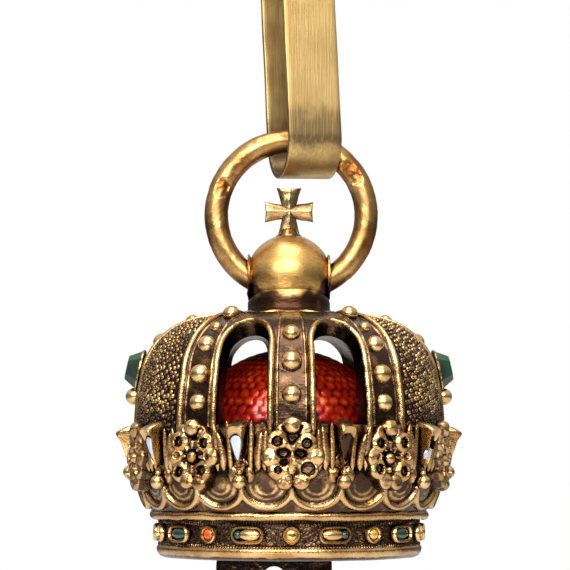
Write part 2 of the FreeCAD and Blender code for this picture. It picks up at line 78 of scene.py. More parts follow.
def ridge(distance: np.ndarray, middle: float, half: float, height: float) -> np.ndarray:
    """Half-ellipse ridge: height times the root of 1 - ((distance - middle) / half)^2."""
    t = (np.asarray(distance, float) - middle) / half
    return height * np.sqrt(np.clip(1.0 - t * t, 0.0, 1.0))


def unevenness(points: np.ndarray, scale: float, seed: int) -> np.ndarray:
    """Smooth unevenness from -1 to 1 at points, the mean of eight sine waves in random directions.

    Args:
        points: array of points, last axis x, y, z, in millimetres.
        scale: the waves' mean length in millimetres.
        seed: number that fixes the waves.

    Returns:
        One value per point.
    """
    rng = np.random.default_rng(seed)
    total = np.zeros(points.shape[:-1])
    for _ in range(8):
        wave = rng.normal(size=3)
        wave *= 2.0 * math.pi / (scale * rng.uniform(0.6, 1.6) * np.linalg.norm(wave))
        total += np.sin(points @ wave + rng.uniform(0.0, 6.28))
    return total / 4.0


def circle(count: int) -> np.ndarray:
    """Evenly spaced angles once round, in radians."""
    return np.linspace(0, 2 * math.pi, count, endpoint=False)


def stacked(*parts: np.ndarray) -> np.ndarray:
    """Coordinates brought to one grid and joined into points."""
    return np.stack(np.broadcast_arrays(*parts), -1)


def carried(r: np.ndarray, a: np.ndarray, z: np.ndarray) -> np.ndarray:
    """Points at the radius r, at the angle a from the front to the right, and at the height z."""
    return stacked(r * np.sin(a), -r * np.cos(a), z)


def spin(angle: float, first: int, second: int) -> np.ndarray:
    """A turn that carries one axis towards another, as a matrix for points on its left.

    Args:
        angle: the turn in degrees.
        first: number of the axis that is carried.
        second: number of the axis that it is carried towards.

    Returns:
        The matrix of cosines and sines.
    """
    turn, a = np.eye(3), math.radians(angle)
    turn[first, first] = turn[second, second] = math.cos(a)
    turn[first, second], turn[second, first] = math.sin(a), -math.sin(a)
    return turn


@dataclass
class Surface:
    """A mesh being built: points in millimetres round the crown's axis, faces and each point's wear, with painted
    shade on some pieces.
    """

    points: np.ndarray
    faces: list[np.ndarray]
    relief: np.ndarray

    def turned(self, azimuth: float) -> "Surface":
        """The same surface turned round the crown's axis, to the right when positive."""
        return Surface(self.points @ spin(azimuth, 0, 1), self.faces, self.relief)

    def volume(self) -> float:
        """Signed volume, the sum of the triple products of each face's fan of triangles."""
        total = 0.0
        for faces in self.faces:
            corners = self.points[faces]
            for k in range(1, faces.shape[1] - 1):
                total += np.einsum("ij,ij->i", corners[:, 0], np.cross(corners[:, k], corners[:, k + 1])).sum()
        return total / 6.0

    def outward(self) -> "Surface":
        """The closed surface with its faces turned to point outwards."""
        if self.volume() < 0:
            self.faces = [faces[:, ::-1] for faces in self.faces]
        return self


def joined(surfaces: list[Surface]) -> Surface:
    """Several surfaces as one, each with its own points.

    Args:
        surfaces: the surfaces to join.

    Returns:
        One surface.
    """
    faces, start = [], 0
    for surface in surfaces:
        faces += [f + start for f in surface.faces]
        start += len(surface.points)
    by_corners = [np.concatenate([f for f in faces if f.shape[1] == k]) for k in (3, 4)
                  if any(f.shape[1] == k for f in faces)]
    return Surface(np.concatenate([s.points for s in surfaces]), by_corners,
                   np.concatenate([s.relief for s in surfaces]))


def lattice(rows: int, columns: int, wrap_rows: bool, wrap_columns: bool) -> np.ndarray:
    """The four-cornered faces between the points of a grid, closed in the wrapped directions.

    Args:
        rows: rows of points.
        columns: points in a row.
        wrap_rows: True where the last row joins the first.
        wrap_columns: True where each row's last point joins its first.

    Returns:
        The points' numbers, a row for each face.
    """
    i = np.arange(rows if wrap_rows else rows - 1)
    j = np.arange(columns if wrap_columns else columns - 1)
    i, j = (a.ravel() for a in np.meshgrid(i, j, indexing="ij"))
    i2, j2 = (i + 1) % rows, (j + 1) % columns
    return np.stack([i * columns + j, i * columns + j2, i2 * columns + j2, i2 * columns + j], 1)


def grid_solid(points: np.ndarray, relief: np.ndarray, wrap_rows: bool = False) -> Surface:
    """A closed surface from a grid whose columns run round it.

    Args:
        points: array of rows, columns and x, y, z.
        relief: wear of each point, 0 in a hollow and 1 on a worn edge, lowered on some pieces as painted shade, in any
            shape that fits the grid.
        wrap_rows: True where the last row joins the first; otherwise a fan round its mean closes each end.

    Returns:
        The surface with its faces outwards.
    """
    rows, columns = points.shape[:2]
    relief = np.broadcast_to(relief, (rows, columns)).astype(float)
    faces, flat, worn = [lattice(rows, columns, wrap_rows, True)], points.reshape(-1, 3), relief.ravel()
    if not wrap_rows:
        j, size, last = np.arange(columns), rows * columns, (rows - 1) * columns
        j2 = (j + 1) % columns
        faces.append(np.concatenate([np.stack([np.full(columns, size), j2, j], 1),
                                     np.stack([np.full(columns, size + 1), last + j, last + j2], 1)]))
        flat = np.concatenate([flat, [points[0].mean(0), points[-1].mean(0)]])
        worn = np.concatenate([worn, [relief[0].mean(), relief[-1].mean()]])
    return Surface(flat, faces, worn).outward()


def bead(centre: tuple, radius: float, up: tuple, squash: float = 0.92, rows: int = 14, columns: int = 22,
         sunk: float = -0.5) -> Surface:
    """A pearl: a ball by its two angles, pressed along the up direction, worn above and dark at its foot.

    Args:
        centre: its middle.
        radius: its radius across the up direction.
        up: direction of its pole.
        squash: its height as a share of the radius.
        rows: points from pole to pole.
        columns: points round it.
        sunk: height, as a share of the radius, where the wear begins.

    Returns:
        The closed pearl.
    """
    askew, tip = (0.31, 0.17, 0.93), 0.04
    up = np.array(up, float) / np.linalg.norm(up)
    side = np.cross(up, askew)
    side /= np.linalg.norm(side)
    polar, a = np.linspace(tip, math.pi - tip, rows)[:, None], circle(columns)
    height, flat = np.cos(polar) * squash, np.sin(polar)
    ball = stacked(flat * np.cos(a), flat * np.sin(a), height)
    return grid_solid(centre + radius * ball @ [side, np.cross(up, side), up], smoothstep(sunk, sunk + 0.6, height))


def ring_bead(centre: tuple, axes: list, radius: float, wire: float, columns: int, long: float = 0.0,
              lift: float = 1.0) -> Surface:
    """A collar lying on a face: a tube along a circle, or along a stadium when long is given.

    The path is radius times (cos, sin) in the side and up directions, with the half length added where the
    cosine is positive and taken off where it is negative. The tube's section is an ellipse along the out
    direction.

    Args:
        centre: the circle's middle.
        axes: the side, up and out directions.
        radius: the path's radius.
        wire: the tube's radius.
        columns: points along the path.
        long: half the stadium's straight length.
        lift: the tube's height as a share of its width.

    Returns:
        The closed collar.
    """
    a, b = circle(columns), circle(10)[:, None]
    reach = radius + wire * np.cos(b)
    x = long * np.tanh(6.0 * np.cos(a)) + reach * np.cos(a)
    points = centre + stacked(x, reach * np.sin(a), lift * wire * np.sin(b)) @ axes
    return grid_solid(points, smoothstep(-0.4, 0.5, np.sin(b)), wrap_rows=True)


def arc_through(a: tuple, b: tuple, c: tuple, count: int) -> np.ndarray:
    """Points on the circle through three points: its centre is equally far from them all.

    Args:
        a: the first point, radius and height.
        b: a point on the way.
        c: the last point.
        count: how many points are wanted.

    Returns:
        Points from a to c, in even steps.
    """
    a, b, c = (np.array(p, float) for p in (a, b, c))
    m = np.array([b - a, c - a]) * 2.0
    centre = np.linalg.solve(m, np.array([b @ b - a @ a, c @ c - a @ a]))
    angles = [math.atan2(*(p - centre)[::-1]) for p in (a, b, c)]
    start, end = angles[0], angles[2]
    while end - start > math.pi:
        end -= 2 * math.pi
    while end - start < -math.pi:
        end += 2 * math.pi
    t = np.linspace(start, end, count)
    return centre + np.linalg.norm(a - centre) * np.stack([np.cos(t), np.sin(t)], 1)


@dataclass
class Meridian:
    """The outline of a round body, radius and height, measured along its length in millimetres."""

    outline: np.ndarray

    def __post_init__(self) -> None:
        """Works out the length and the outward direction at each point of the outline."""
        step = np.diff(self.outline, axis=0)
        self.length = np.concatenate([[0.0], np.cumsum(np.hypot(step[:, 0], step[:, 1]))])
        slope = np.gradient(self.outline, self.length, axis=0)
        slope /= np.linalg.norm(slope, axis=1)[:, None]
        self.out = np.stack([slope[:, 1], -slope[:, 0]], 1)

    def place(self, azimuth: np.ndarray, along: np.ndarray, lift: np.ndarray) -> np.ndarray:
        """Points at an azimuth in degrees, a length along the outline and a height above it.

        Args:
            azimuth: degrees from the front to the right.
            along: length along the outline.
            lift: height above the outline.

        Returns:
            The points, in the grid that the three share.
        """
        r, z = (np.interp(along, self.length, line) for line in self.outline.T)
        out_r, out_z = (np.interp(along, self.length, line) for line in self.out.T)
        return carried(r + lift * out_r, np.radians(azimuth), z + lift * out_z)


def revolved(outline: list, columns: int, relief: np.ndarray, closed: bool = False) -> Surface:
    """A round body: each point of the outline, radius and height, carried round the axis."""
    r, z = np.array(outline).T[..., None]
    return grid_solid(carried(r, circle(columns), z), relief, wrap_rows=closed)


# ---------------------------------------------------------------- finishes


class Nodes:
    """Short way to lay out one material's or group's shader nodes."""

    def __init__(self, tree: bpy.types.NodeTree) -> None:
        """Keeps the tree that the nodes go into."""
        self.tree = tree

    def fill(self, node: bpy.types.Node, inputs: dict) -> None:
        """Gives inputs, by name or number, their values, or links where the value is another node's output."""
        for key, value in inputs.items():
            socket = node.inputs[key]
            if isinstance(value, bpy.types.NodeSocket):
                self.tree.links.new(value, socket)
            else:
                socket.default_value = (*value, 1.0) if socket.type == "RGBA" else value

    def add(self, kind: str, inputs: dict | None = None, **settings: object) -> bpy.types.NodeOutputs:
        """Makes a node with its settings and inputs, and gives its outputs.

        Args:
            kind: the node's type.
            inputs: values or links by name or number, made after the settings.
            settings: the node's own settings.

        Returns:
            The node's outputs.
        """
        node = self.tree.nodes.new(kind)
        for name, value in settings.items():
            setattr(node, name, value)
        self.fill(node, inputs or {})
        return node.outputs

    def math(self, operation: str, a: object, b: object) -> bpy.types.NodeSocket:
        """One calculation with two sockets or numbers."""
        return self.add("ShaderNodeMath", {0: a, 1: b}, operation=operation)[0]

    def weighed(self, a: object, share_a: float, b: object, share_b: float) -> bpy.types.NodeSocket:
        """The sum of two values, each times its share."""
        return self.math("ADD", self.math("MULTIPLY", a, share_a), self.math("MULTIPLY", b, share_b))

    def varied(self, value: bpy.types.NodeSocket, noise: bpy.types.NodeSocket, size: float) -> bpy.types.NodeSocket:
        """A value moved up and down by a noise round one half, times a size."""
        return self.math("ADD", value, self.math("MULTIPLY", self.math("SUBTRACT", noise, 0.5), size))

    def mixed(self, factor: bpy.types.NodeSocket, a: object, b: object) -> bpy.types.NodeSocket:
        """A colour between two colours or sockets."""
        return self.add("ShaderNodeMix", {0: factor, 6: a, 7: b}, data_type="RGBA")[2]

    def place(self) -> bpy.types.NodeSocket:
        """The object's own coordinates."""
        return self.add("ShaderNodeTexCoord")["Object"]

    def relief(self) -> bpy.types.NodeSocket:
        """The wear, lowered on some pieces as painted shade, that each point was given."""
        return self.add("ShaderNodeAttribute", attribute_name="relief")["Fac"]

    def noise(self, scale: object, detail: float = 3.0, place: object = None) -> bpy.types.NodeSocket:
        """A noise value at the object's own coordinates, or at a given place."""
        place = self.place() if place is None else place
        return self.add("ShaderNodeTexNoise", {"Vector": place, "Scale": scale, "Detail": detail})["Fac"]

    def ramp(self, value: bpy.types.NodeSocket, *ends: float) -> bpy.types.NodeSocket:
        """A value carried smoothly from one range to another, or to 0 and 1, the ends given in this order."""
        numbers = {k + 1: end for k, end in enumerate(ends)}
        return self.add("ShaderNodeMapRange", {0: value, **numbers}, interpolation_type="SMOOTHSTEP")[0]


def new_group(name: str, inputs: dict, outputs: dict) -> tuple:
    """A shader node group with named sockets.

    Args:
        name: the group's name.
        inputs: name and kind of each input.
        outputs: name and kind of each output.

    Returns:
        The helper for its nodes, the inside ends of its inputs, and its output node.
    """
    group = bpy.data.node_groups.new(name, "ShaderNodeTree")
    for direction, sockets in (("INPUT", inputs), ("OUTPUT", outputs)):
        for key, kind in sockets.items():
            group.interface.new_socket(name=key, in_out=direction, socket_type="NodeSocket" + kind)
    n = Nodes(group)
    return n, n.add("NodeGroupInput"), group.nodes.new("NodeGroupOutput")


def patina_and_shade_group() -> None:
    """Worn gilding and painted shade: gold where the relief is high, brown-black patina in hollows and where pieces
    meet, and near-black painted shade where the ambient occlusion finds crevices and meeting pieces.
    """
    n, given, out = new_group(
        "worn_gilding_and_shade",
        {"Gold": "Color", "Deep Gold": "Color", "Patina": "Color", "Wear": "Float", "Reach": "Float"},
        {"Color": "Color", "Roughness": "Float", "Height": "Float"})
    touch, patina_and_painted_shade = 0.0007, (0.012, 0.007, 0.005)
    open_ = n.add("ShaderNodeAmbientOcclusion", {"Distance": touch}, samples=6)["AO"]
    patches, fine = n.noise(900.0, 4.0), n.noise(5200.0, 2.0)
    worn = n.varied(n.varied(n.relief(), patches, 1.05), fine, 0.3)
    # Painted shade: where the ambient occlusion is low, in crevices and where pieces meet, gold is taken away, partly
    # for the patina there and partly as shade.
    closed = n.math("MULTIPLY", n.math("SUBTRACT", 1.0, n.ramp(open_, 0.2, 0.85)), given["Reach"])
    worn = n.math("SUBTRACT", n.math("ADD", worn, given["Wear"]), closed)
    gold = n.mixed(n.ramp(n.noise(420.0), 0.35, 0.7), given["Gold"], given["Deep Gold"])
    warm = n.mixed(n.ramp(worn, 0.3, 0.62), given["Deep Gold"], gold)
    mask = n.ramp(worn, 0.22, 0.72)
    # Painted shade: near-black is mixed in where the ambient occlusion is low, partly patina and partly painted shade.
    colour = n.mixed(n.ramp(open_, 0.1, 0.62, 0.78, 0.0), n.mixed(mask, given["Patina"], warm), patina_and_painted_shade)
    rough = n.math("ADD", n.math("MULTIPLY", fine, 0.16), n.ramp(mask, 0.0, 1.0, 0.16, 0.18))
    n.fill(out, {"Color": colour, "Roughness": rough, "Height": n.weighed(patches, 0.7, fine, 0.3)})


def brushed_group() -> None:
    """Fine lines and small dents of rubbed metal, stretched along one direction of the object."""
    n, given, out = new_group("rubbed_metal", {"Stretch": "Vector", "Scale": "Float", "Dents": "Float"},
                              {"Lines": "Float", "Dents": "Float", "Height": "Float"})
    stretched = n.add("ShaderNodeVectorMath", {0: n.place(), 1: given["Stretch"]}, operation="MULTIPLY")[0]
    lines, dents = n.noise(given["Scale"], 4.0, stretched), n.noise(given["Dents"])
    n.fill(out, {"Lines": lines, "Dents": dents, "Height": n.weighed(lines, 0.5, dents, 0.5)})


@dataclass(frozen=True)
class Finish:
    """What all finishes share. Each adds its bump, its bump_size and a method shading."""

    name: str

    def material(self) -> bpy.types.Material:
        """The material, with the shader's inputs and a bump from the height that shading gives.

        Returns:
            The new material.
        """
        material = bpy.data.materials.new(self.name)
        material.use_nodes = True
        n = Nodes(material.node_tree)
        inputs, height = self.shading(n)
        bump = n.add("ShaderNodeBump", {"Strength": self.bump, "Distance": self.bump_size, "Height": height})[0]
        n.fill(n.tree.nodes["Principled BSDF"], {**inputs, "Normal": bump})
        return material


@dataclass(frozen=True)
class GiltFinish(Finish):
    """Cast gilt metal with patina in its hollows, and painted shade in crevices and where pieces meet."""

    gold: tuple = (0.52, 0.335, 0.152)
    deep_gold: tuple = (0.32, 0.168, 0.06)
    patina: tuple = (0.052, 0.029, 0.018)
    wear: float = 0.06
    reach: float = 0.6
    bump: float = 0.55
    bump_size: float = 0.00015

    def shading(self, n: Nodes) -> tuple:
        """Colour, roughness and height from the worn gilding and shade group."""
        worn = n.add("ShaderNodeGroup", {"Gold": self.gold, "Deep Gold": self.deep_gold, "Patina": self.patina,
                                         "Wear": self.wear, "Reach": self.reach},
                     node_tree=bpy.data.node_groups["worn_gilding_and_shade"])
        return {"Metallic": 1.0, "Base Color": worn["Color"], "Roughness": worn["Roughness"]}, worn["Height"]


@dataclass(frozen=True)
class RubbedFinish(Finish):
    """Plain gold rubbed or hammered, with fine lines, soft dents and darker patches where the relief is low, partly
    tarnish and partly painted shade.
    """

    light: tuple
    dark: tuple
    tarnish_and_shade: tuple
    line_scale: float
    dent_scale: float
    rough_low: float
    rough_high: float
    stretch: tuple = (1.0, 1.0, 1.0)
    bump: float = 0.4
    bump_size: float = 0.0001
    painted_shade_between: tuple = ()

    def shading(self, n: Nodes) -> tuple:
        """The relief attribute also darkens the colour, partly as tarnish and partly as painted shade, and a band of
        painted shade lies between two heights if they are given.

        Args:
            n: helper for the material's nodes.

        Returns:
            The shader's inputs, and the height for the bump.
        """
        rubbed = n.add("ShaderNodeGroup", {"Stretch": self.stretch, "Scale": self.line_scale,
                                           "Dents": self.dent_scale}, node_tree=bpy.data.node_groups["rubbed_metal"])
        lines, dents = rubbed["Lines"], rubbed["Dents"]
        colour = n.mixed(n.ramp(n.weighed(lines, 0.5, dents, 0.5), 0.38, 0.62), self.dark, self.light)
        colour = n.mixed(n.ramp(n.varied(n.relief(), dents, 0.8), 0.15, 0.75), self.tarnish_and_shade, colour)
        # Painted shade: a dark band between two heights, which the strap uses just above its bottom bend.
        if self.painted_shade_between:
            foot, top = self.painted_shade_between
            height = n.varied(n.add("ShaderNodeSeparateXYZ", {0: n.place()})["Z"], n.noise(700.0), 0.003)
            low = n.ramp(height, foot - 0.0006, foot + 0.0002)
            high = n.ramp(height, top - 0.0005, top + 0.0015, 1.0, 0.0)
            band = n.math("MULTIPLY", n.math("MULTIPLY", low, high), 0.85)
            colour = n.mixed(n.math("MULTIPLY", band, n.ramp(lines, 0.2, 0.52)), colour, self.tarnish_and_shade)
        rough = n.ramp(lines, 0.3, 0.7, self.rough_high, self.rough_low)
        return {"Metallic": 1.0, "Base Color": colour, "Roughness": rough}, rubbed["Height"]


@dataclass(frozen=True)
class EnamelFinish(Finish):
    """Glassy enamel or stone, its colour varied in patches, with a clear shine on top."""

    light: tuple
    dark: tuple
    metallic: float = 0.0
    roughness: float = 0.18
    coat: float = 1.0
    patch_scale: float = 900.0
    hot: tuple = ()
    painted_glow: float = 0.0
    bump: float = 0.15
    bump_size: float = 0.0001

    def shading(self, n: Nodes) -> tuple:
        """With a hot colour, dark lies between the cells, light on them and hot on the highest.

        Args:
            n: helper for the material's nodes.

        Returns:
            The shader's inputs, and the height for the bump.
        """
        patches, light = n.noise(self.patch_scale), self.light
        factor = n.ramp(patches, 0.35, 0.65)
        if self.hot:
            value = n.varied(n.relief(), patches, 1.1)
            factor, light = n.ramp(value, 0.0, 0.55), n.mixed(n.ramp(value, 0.55, 1.15), self.light, self.hot)
        colour = n.mixed(factor, self.dark, light)
        inputs = {"Metallic": self.metallic, "Roughness": self.roughness, "Coat Weight": self.coat,
                  "Coat Roughness": 0.04, "Base Color": colour}
        # Painted light: emission makes the enamel glow a little, brightening it in the arches' shade.
        if self.painted_glow:
            inputs.update({"Emission Color": colour, "Emission Strength": self.painted_glow})
        return inputs, patches


FINISHES = (
    GiltFinish("crown_gilt"),
    GiltFinish("pearl_gilt", (0.56, 0.375, 0.17), (0.42, 0.245, 0.09), wear=0.34, bump=0.12),
    GiltFinish("grain_gilt", (0.47, 0.31, 0.125), (0.29, 0.16, 0.055), wear=-0.06, bump=0.2),
    GiltFinish("dark_hanger", (0.3, 0.17, 0.07), (0.10, 0.05, 0.03), (0.02, 0.012, 0.01), wear=-0.3),
    GiltFinish("cross_gilt", (0.33, 0.22, 0.10), (0.25, 0.15, 0.06), wear=0.22, reach=1.0, bump=0.2),
    RubbedFinish("orb_gold", (0.60, 0.365, 0.125), (0.43, 0.235, 0.065), (0.055, 0.024, 0.012), 2200.0, 700.0, 0.27,
                 0.42, stretch=(1, 1, 3)),
    RubbedFinish("ring_gold", (0.46, 0.28, 0.105), (0.33, 0.18, 0.055), (0.19, 0.065, 0.014), 1600.0, 500.0, 0.25,
                 0.4, bump=0.3),
    RubbedFinish("strap_gold", (0.50, 0.345, 0.14), (0.39, 0.25, 0.09), (0.15, 0.10, 0.048), 2600.0, 300.0, 0.34,
                 0.46, stretch=(3.0, 3.0, 0.1), bump=0.22, painted_shade_between=(-0.0543, -0.0521)),
    EnamelFinish("red_enamel", (0.50, 0.014, 0.003), (0.03, 0.001, 0.0006), 0.6, 0.3, 0.6, 360.0,
                 hot=(0.92, 0.17, 0.012), painted_glow=0.13),
    EnamelFinish("white_enamel", (0.43, 0.46, 0.52), (0.34, 0.38, 0.44), roughness=0.2),
    EnamelFinish("green_enamel", (0.003, 0.035, 0.018), (0.002, 0.014, 0.009), coat=0.5),
    EnamelFinish("orange_enamel", (0.8, 0.17, 0.01), (0.5, 0.06, 0.004), metallic=0.3, coat=0.4),
    EnamelFinish("yellow_enamel", (0.72, 0.44, 0.08), (0.5, 0.26, 0.04), metallic=0.5),
    EnamelFinish("green_stone", (0.005, 0.034, 0.010), (0.001, 0.008, 0.005), roughness=0.36, coat=0.0,
                 patch_scale=500.0))


class Workshop:
    """Holds the finishes and puts finished surfaces into the scene."""

    def __init__(self) -> None:
        """Builds the shared groups and every finish once."""
        patina_and_shade_group()
        brushed_group()
        self.materials = {finish.name: finish.material() for finish in FINISHES}

    def dress(self, node: str, finish: str) -> None:
        """Gives a CAD node that stays one of the finishes.

        Args:
            node: the node's name.
            finish: the finish's name.
        """
        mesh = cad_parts[node].data
        mesh.materials.clear()
        mesh.materials.append(self.materials[finish])
        LOG.info("dressed %s in %s", node, finish)

    def show(self, name: str, surface: Surface, finish: str = "crown_gilt", nodes: tuple = (), sharp: float = 50.0,
             body: Body = Body.CROWN) -> None:
        """Puts a finished surface into the scene as a piece.

        Args:
            name: the piece's name.
            surface: its points, faces and wear, with any painted shade.
            finish: the finish's name.
            nodes: CAD nodes that it stands for.
            sharp: edges bent by more than this many degrees stay sharp.
            body: the CAD body that it rides on.
        """
        mesh = bpy.data.meshes.new(name)
        points = (surface.points - HANG_POINT) * MM
        corners = np.concatenate([f.ravel() for f in surface.faces]).astype(np.int32)
        sizes = np.concatenate([np.full(len(f), f.shape[1], np.int32) for f in surface.faces])
        mesh.vertices.add(len(points))
        mesh.vertices.foreach_set("co", points.astype(np.float32).ravel())
        mesh.loops.add(len(corners))
        mesh.loops.foreach_set("vertex_index", corners)
        mesh.polygons.add(len(sizes))
        mesh.polygons.foreach_set("loop_start", np.concatenate([[0], np.cumsum(sizes)[:-1]]).astype(np.int32))
        mesh.polygons.foreach_set("loop_total", sizes)
        mesh.polygons.foreach_set("use_smooth", np.ones(len(sizes), bool))
        mesh.update(calc_edges=True)
        mesh.validate()
        wear = mesh.attributes.new("relief", "FLOAT", "POINT")
        wear.data.foreach_set("value", np.clip(surface.relief, 0, 1).astype(np.float32))
        mesh.set_sharp_from_angle(angle=math.radians(sharp))
        mesh.materials.append(self.materials[finish])
        piece = bpy.data.objects.new(name, mesh)
        bpy.context.scene.collection.objects.link(piece)
        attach(piece, body.value)
        if nodes:
            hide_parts(*nodes)
        LOG.info("%s: %d points, %d faces", name, len(points), len(sizes))


# ---------------------------------------------------------------- sub-assemblies


@dataclass
class StrapLoop:
    """The flat strap bent to a long closed loop."""

    width: float = 4.8
    thick: float = 0.5
    gap: float = 5.9
    length: float = 57.65
    low_x: float = 1.3
    low_z: float = 32.8
    yaw: float = 16.0
    lean: float = 2.6
    edge: float = 0.11

    def build(self, shop: Workshop) -> None:
        """A rounded rectangle carried along a stadium, turned by the yaw, then leaned, then put in place.

        Args:
            shop: takes the finished strap.
        """
        mean, outer = (self.gap + self.thick) / 2, self.gap / 2 + self.thick
        span = self.length - 2 * outer
        bend, run = np.linspace(0, math.pi, 60), np.linspace(0, 1, 90)[1:-1]
        ny = np.concatenate([-np.cos(bend), 1 + 0 * run, np.cos(bend), -1 + 0 * run])
        nz = np.concatenate([-np.sin(bend), 0 * run, np.sin(bend), 0 * run])
        z = np.concatenate([0 * bend, span * run, span + 0 * bend, span * (1 - run)]) + mean * nz
        w, t, e = self.width / 2 - self.edge, self.thick / 2 - self.edge, self.edge
        corner, side = np.linspace(0, math.pi / 2, 5), np.linspace(-1, 1, 16)[1:-1]
        half = np.stack([np.concatenate([w + e * np.cos(corner), -side * w, -w - e * np.sin(corner)]),
                         np.concatenate([t + e * np.sin(corner), t + e + 0 * side, t + e * np.cos(corner)])])
        u, v = np.concatenate([half, -half], 1)
        place = stacked(u, (mean * ny)[:, None] + ny[:, None] * v, z[:, None] + nz[:, None] * v)
        place[..., 0] *= 0.985 + 0.012 * unevenness(place, 9.0, 5)
        inner_face, low_bend = smoothstep(0.0, 0.1, -v), smoothstep(1.0, -1.5, z)[:, None]
        # Painted shade: the relief is lowered on the strap's inner face and more at its low bend, so they take the
        # darker colour.
        relief = 0.85 - 0.28 * inner_face - low_bend * (0.22 + 0.5 * inner_face)
        place[..., 1] += 0.014 * inner_face * unevenness(place, 0.5, 6)
        low = np.array([self.low_x, 0, self.low_z + outer * math.cos(math.radians(self.lean))])
        points = place @ spin(self.yaw, 0, 1) @ spin(self.lean, 0, 2) + low
        shop.show("strap_loop", grid_solid(points, relief, wrap_rows=True), "strap_gold", ("ribbon_loop",), 35.0,
                  Body.LOOP)


@dataclass
class SuspensionRing:
    """The round wire ring, hammered, with two shallow sunk fields left bare."""

    x: float = 0.2
    z: float = 29.55
    mean: float = 6.55
    wire: float = 1.05
    fields: tuple = ((159.5, 0.85, 31), (34.0, 1.2, 32))

    def build(self, shop: Workshop) -> None:
        """A round tube along a circle; the wire's radius is lowered in the fields and by soft unevenness.

        Args:
            shop: takes the finished ring.
        """
        a, b = circle(320)[:, None], circle(40)
        flat = stacked(self.mean * np.cos(a), np.sin(b) * self.wire, self.mean * np.sin(a) + np.cos(b) * self.wire)
        dents = unevenness(flat, 1.6, 11) + 0.5 * unevenness(flat, 0.7, 12)
        front = b - 1.5 * math.pi
        sunk = np.zeros((320, 40))
        for middle, half, seed in self.fields:
            along = np.radians((np.degrees(a) - middle + 180) % 360 - 180) * self.mean
            across = (front + 0.15) * self.wire
            shape = (np.abs(along / half) ** 4 + np.abs(across / 0.62) ** 4) ** 0.25
            inside = (1 - smoothstep(0.88, 1.02, shape)) * (np.cos(front) > 0)
            sunk += inside * (0.13 + 0.035 * unevenness(flat, 0.4, seed))
        r = self.wire - 0.02 + 0.022 * np.minimum(dents, 0.4) - sunk
        reach = self.mean + r * np.cos(b)
        points = stacked(self.x + reach * np.cos(a), r * np.sin(b), self.z + reach * np.sin(a))
        streaks = unevenness(stacked(8 * a, 3 * b, 0.0), 6.0, 13)
        relief = 0.72 + 0.3 * streaks - 3.0 * sunk
        # Painted shade: the relief is lowered towards the wire's inner and outer rims, where it turns away from the
        # front, so they take the darker colour.
        relief -= (0.45 + 0.2 * streaks) * smoothstep(0.45, 0.98, np.abs(np.cos(b)))
        shop.show("hanging_ring", grid_solid(points, relief, wrap_rows=True), "ring_gold", ("suspension_ring",),
                  body=Body.RING)


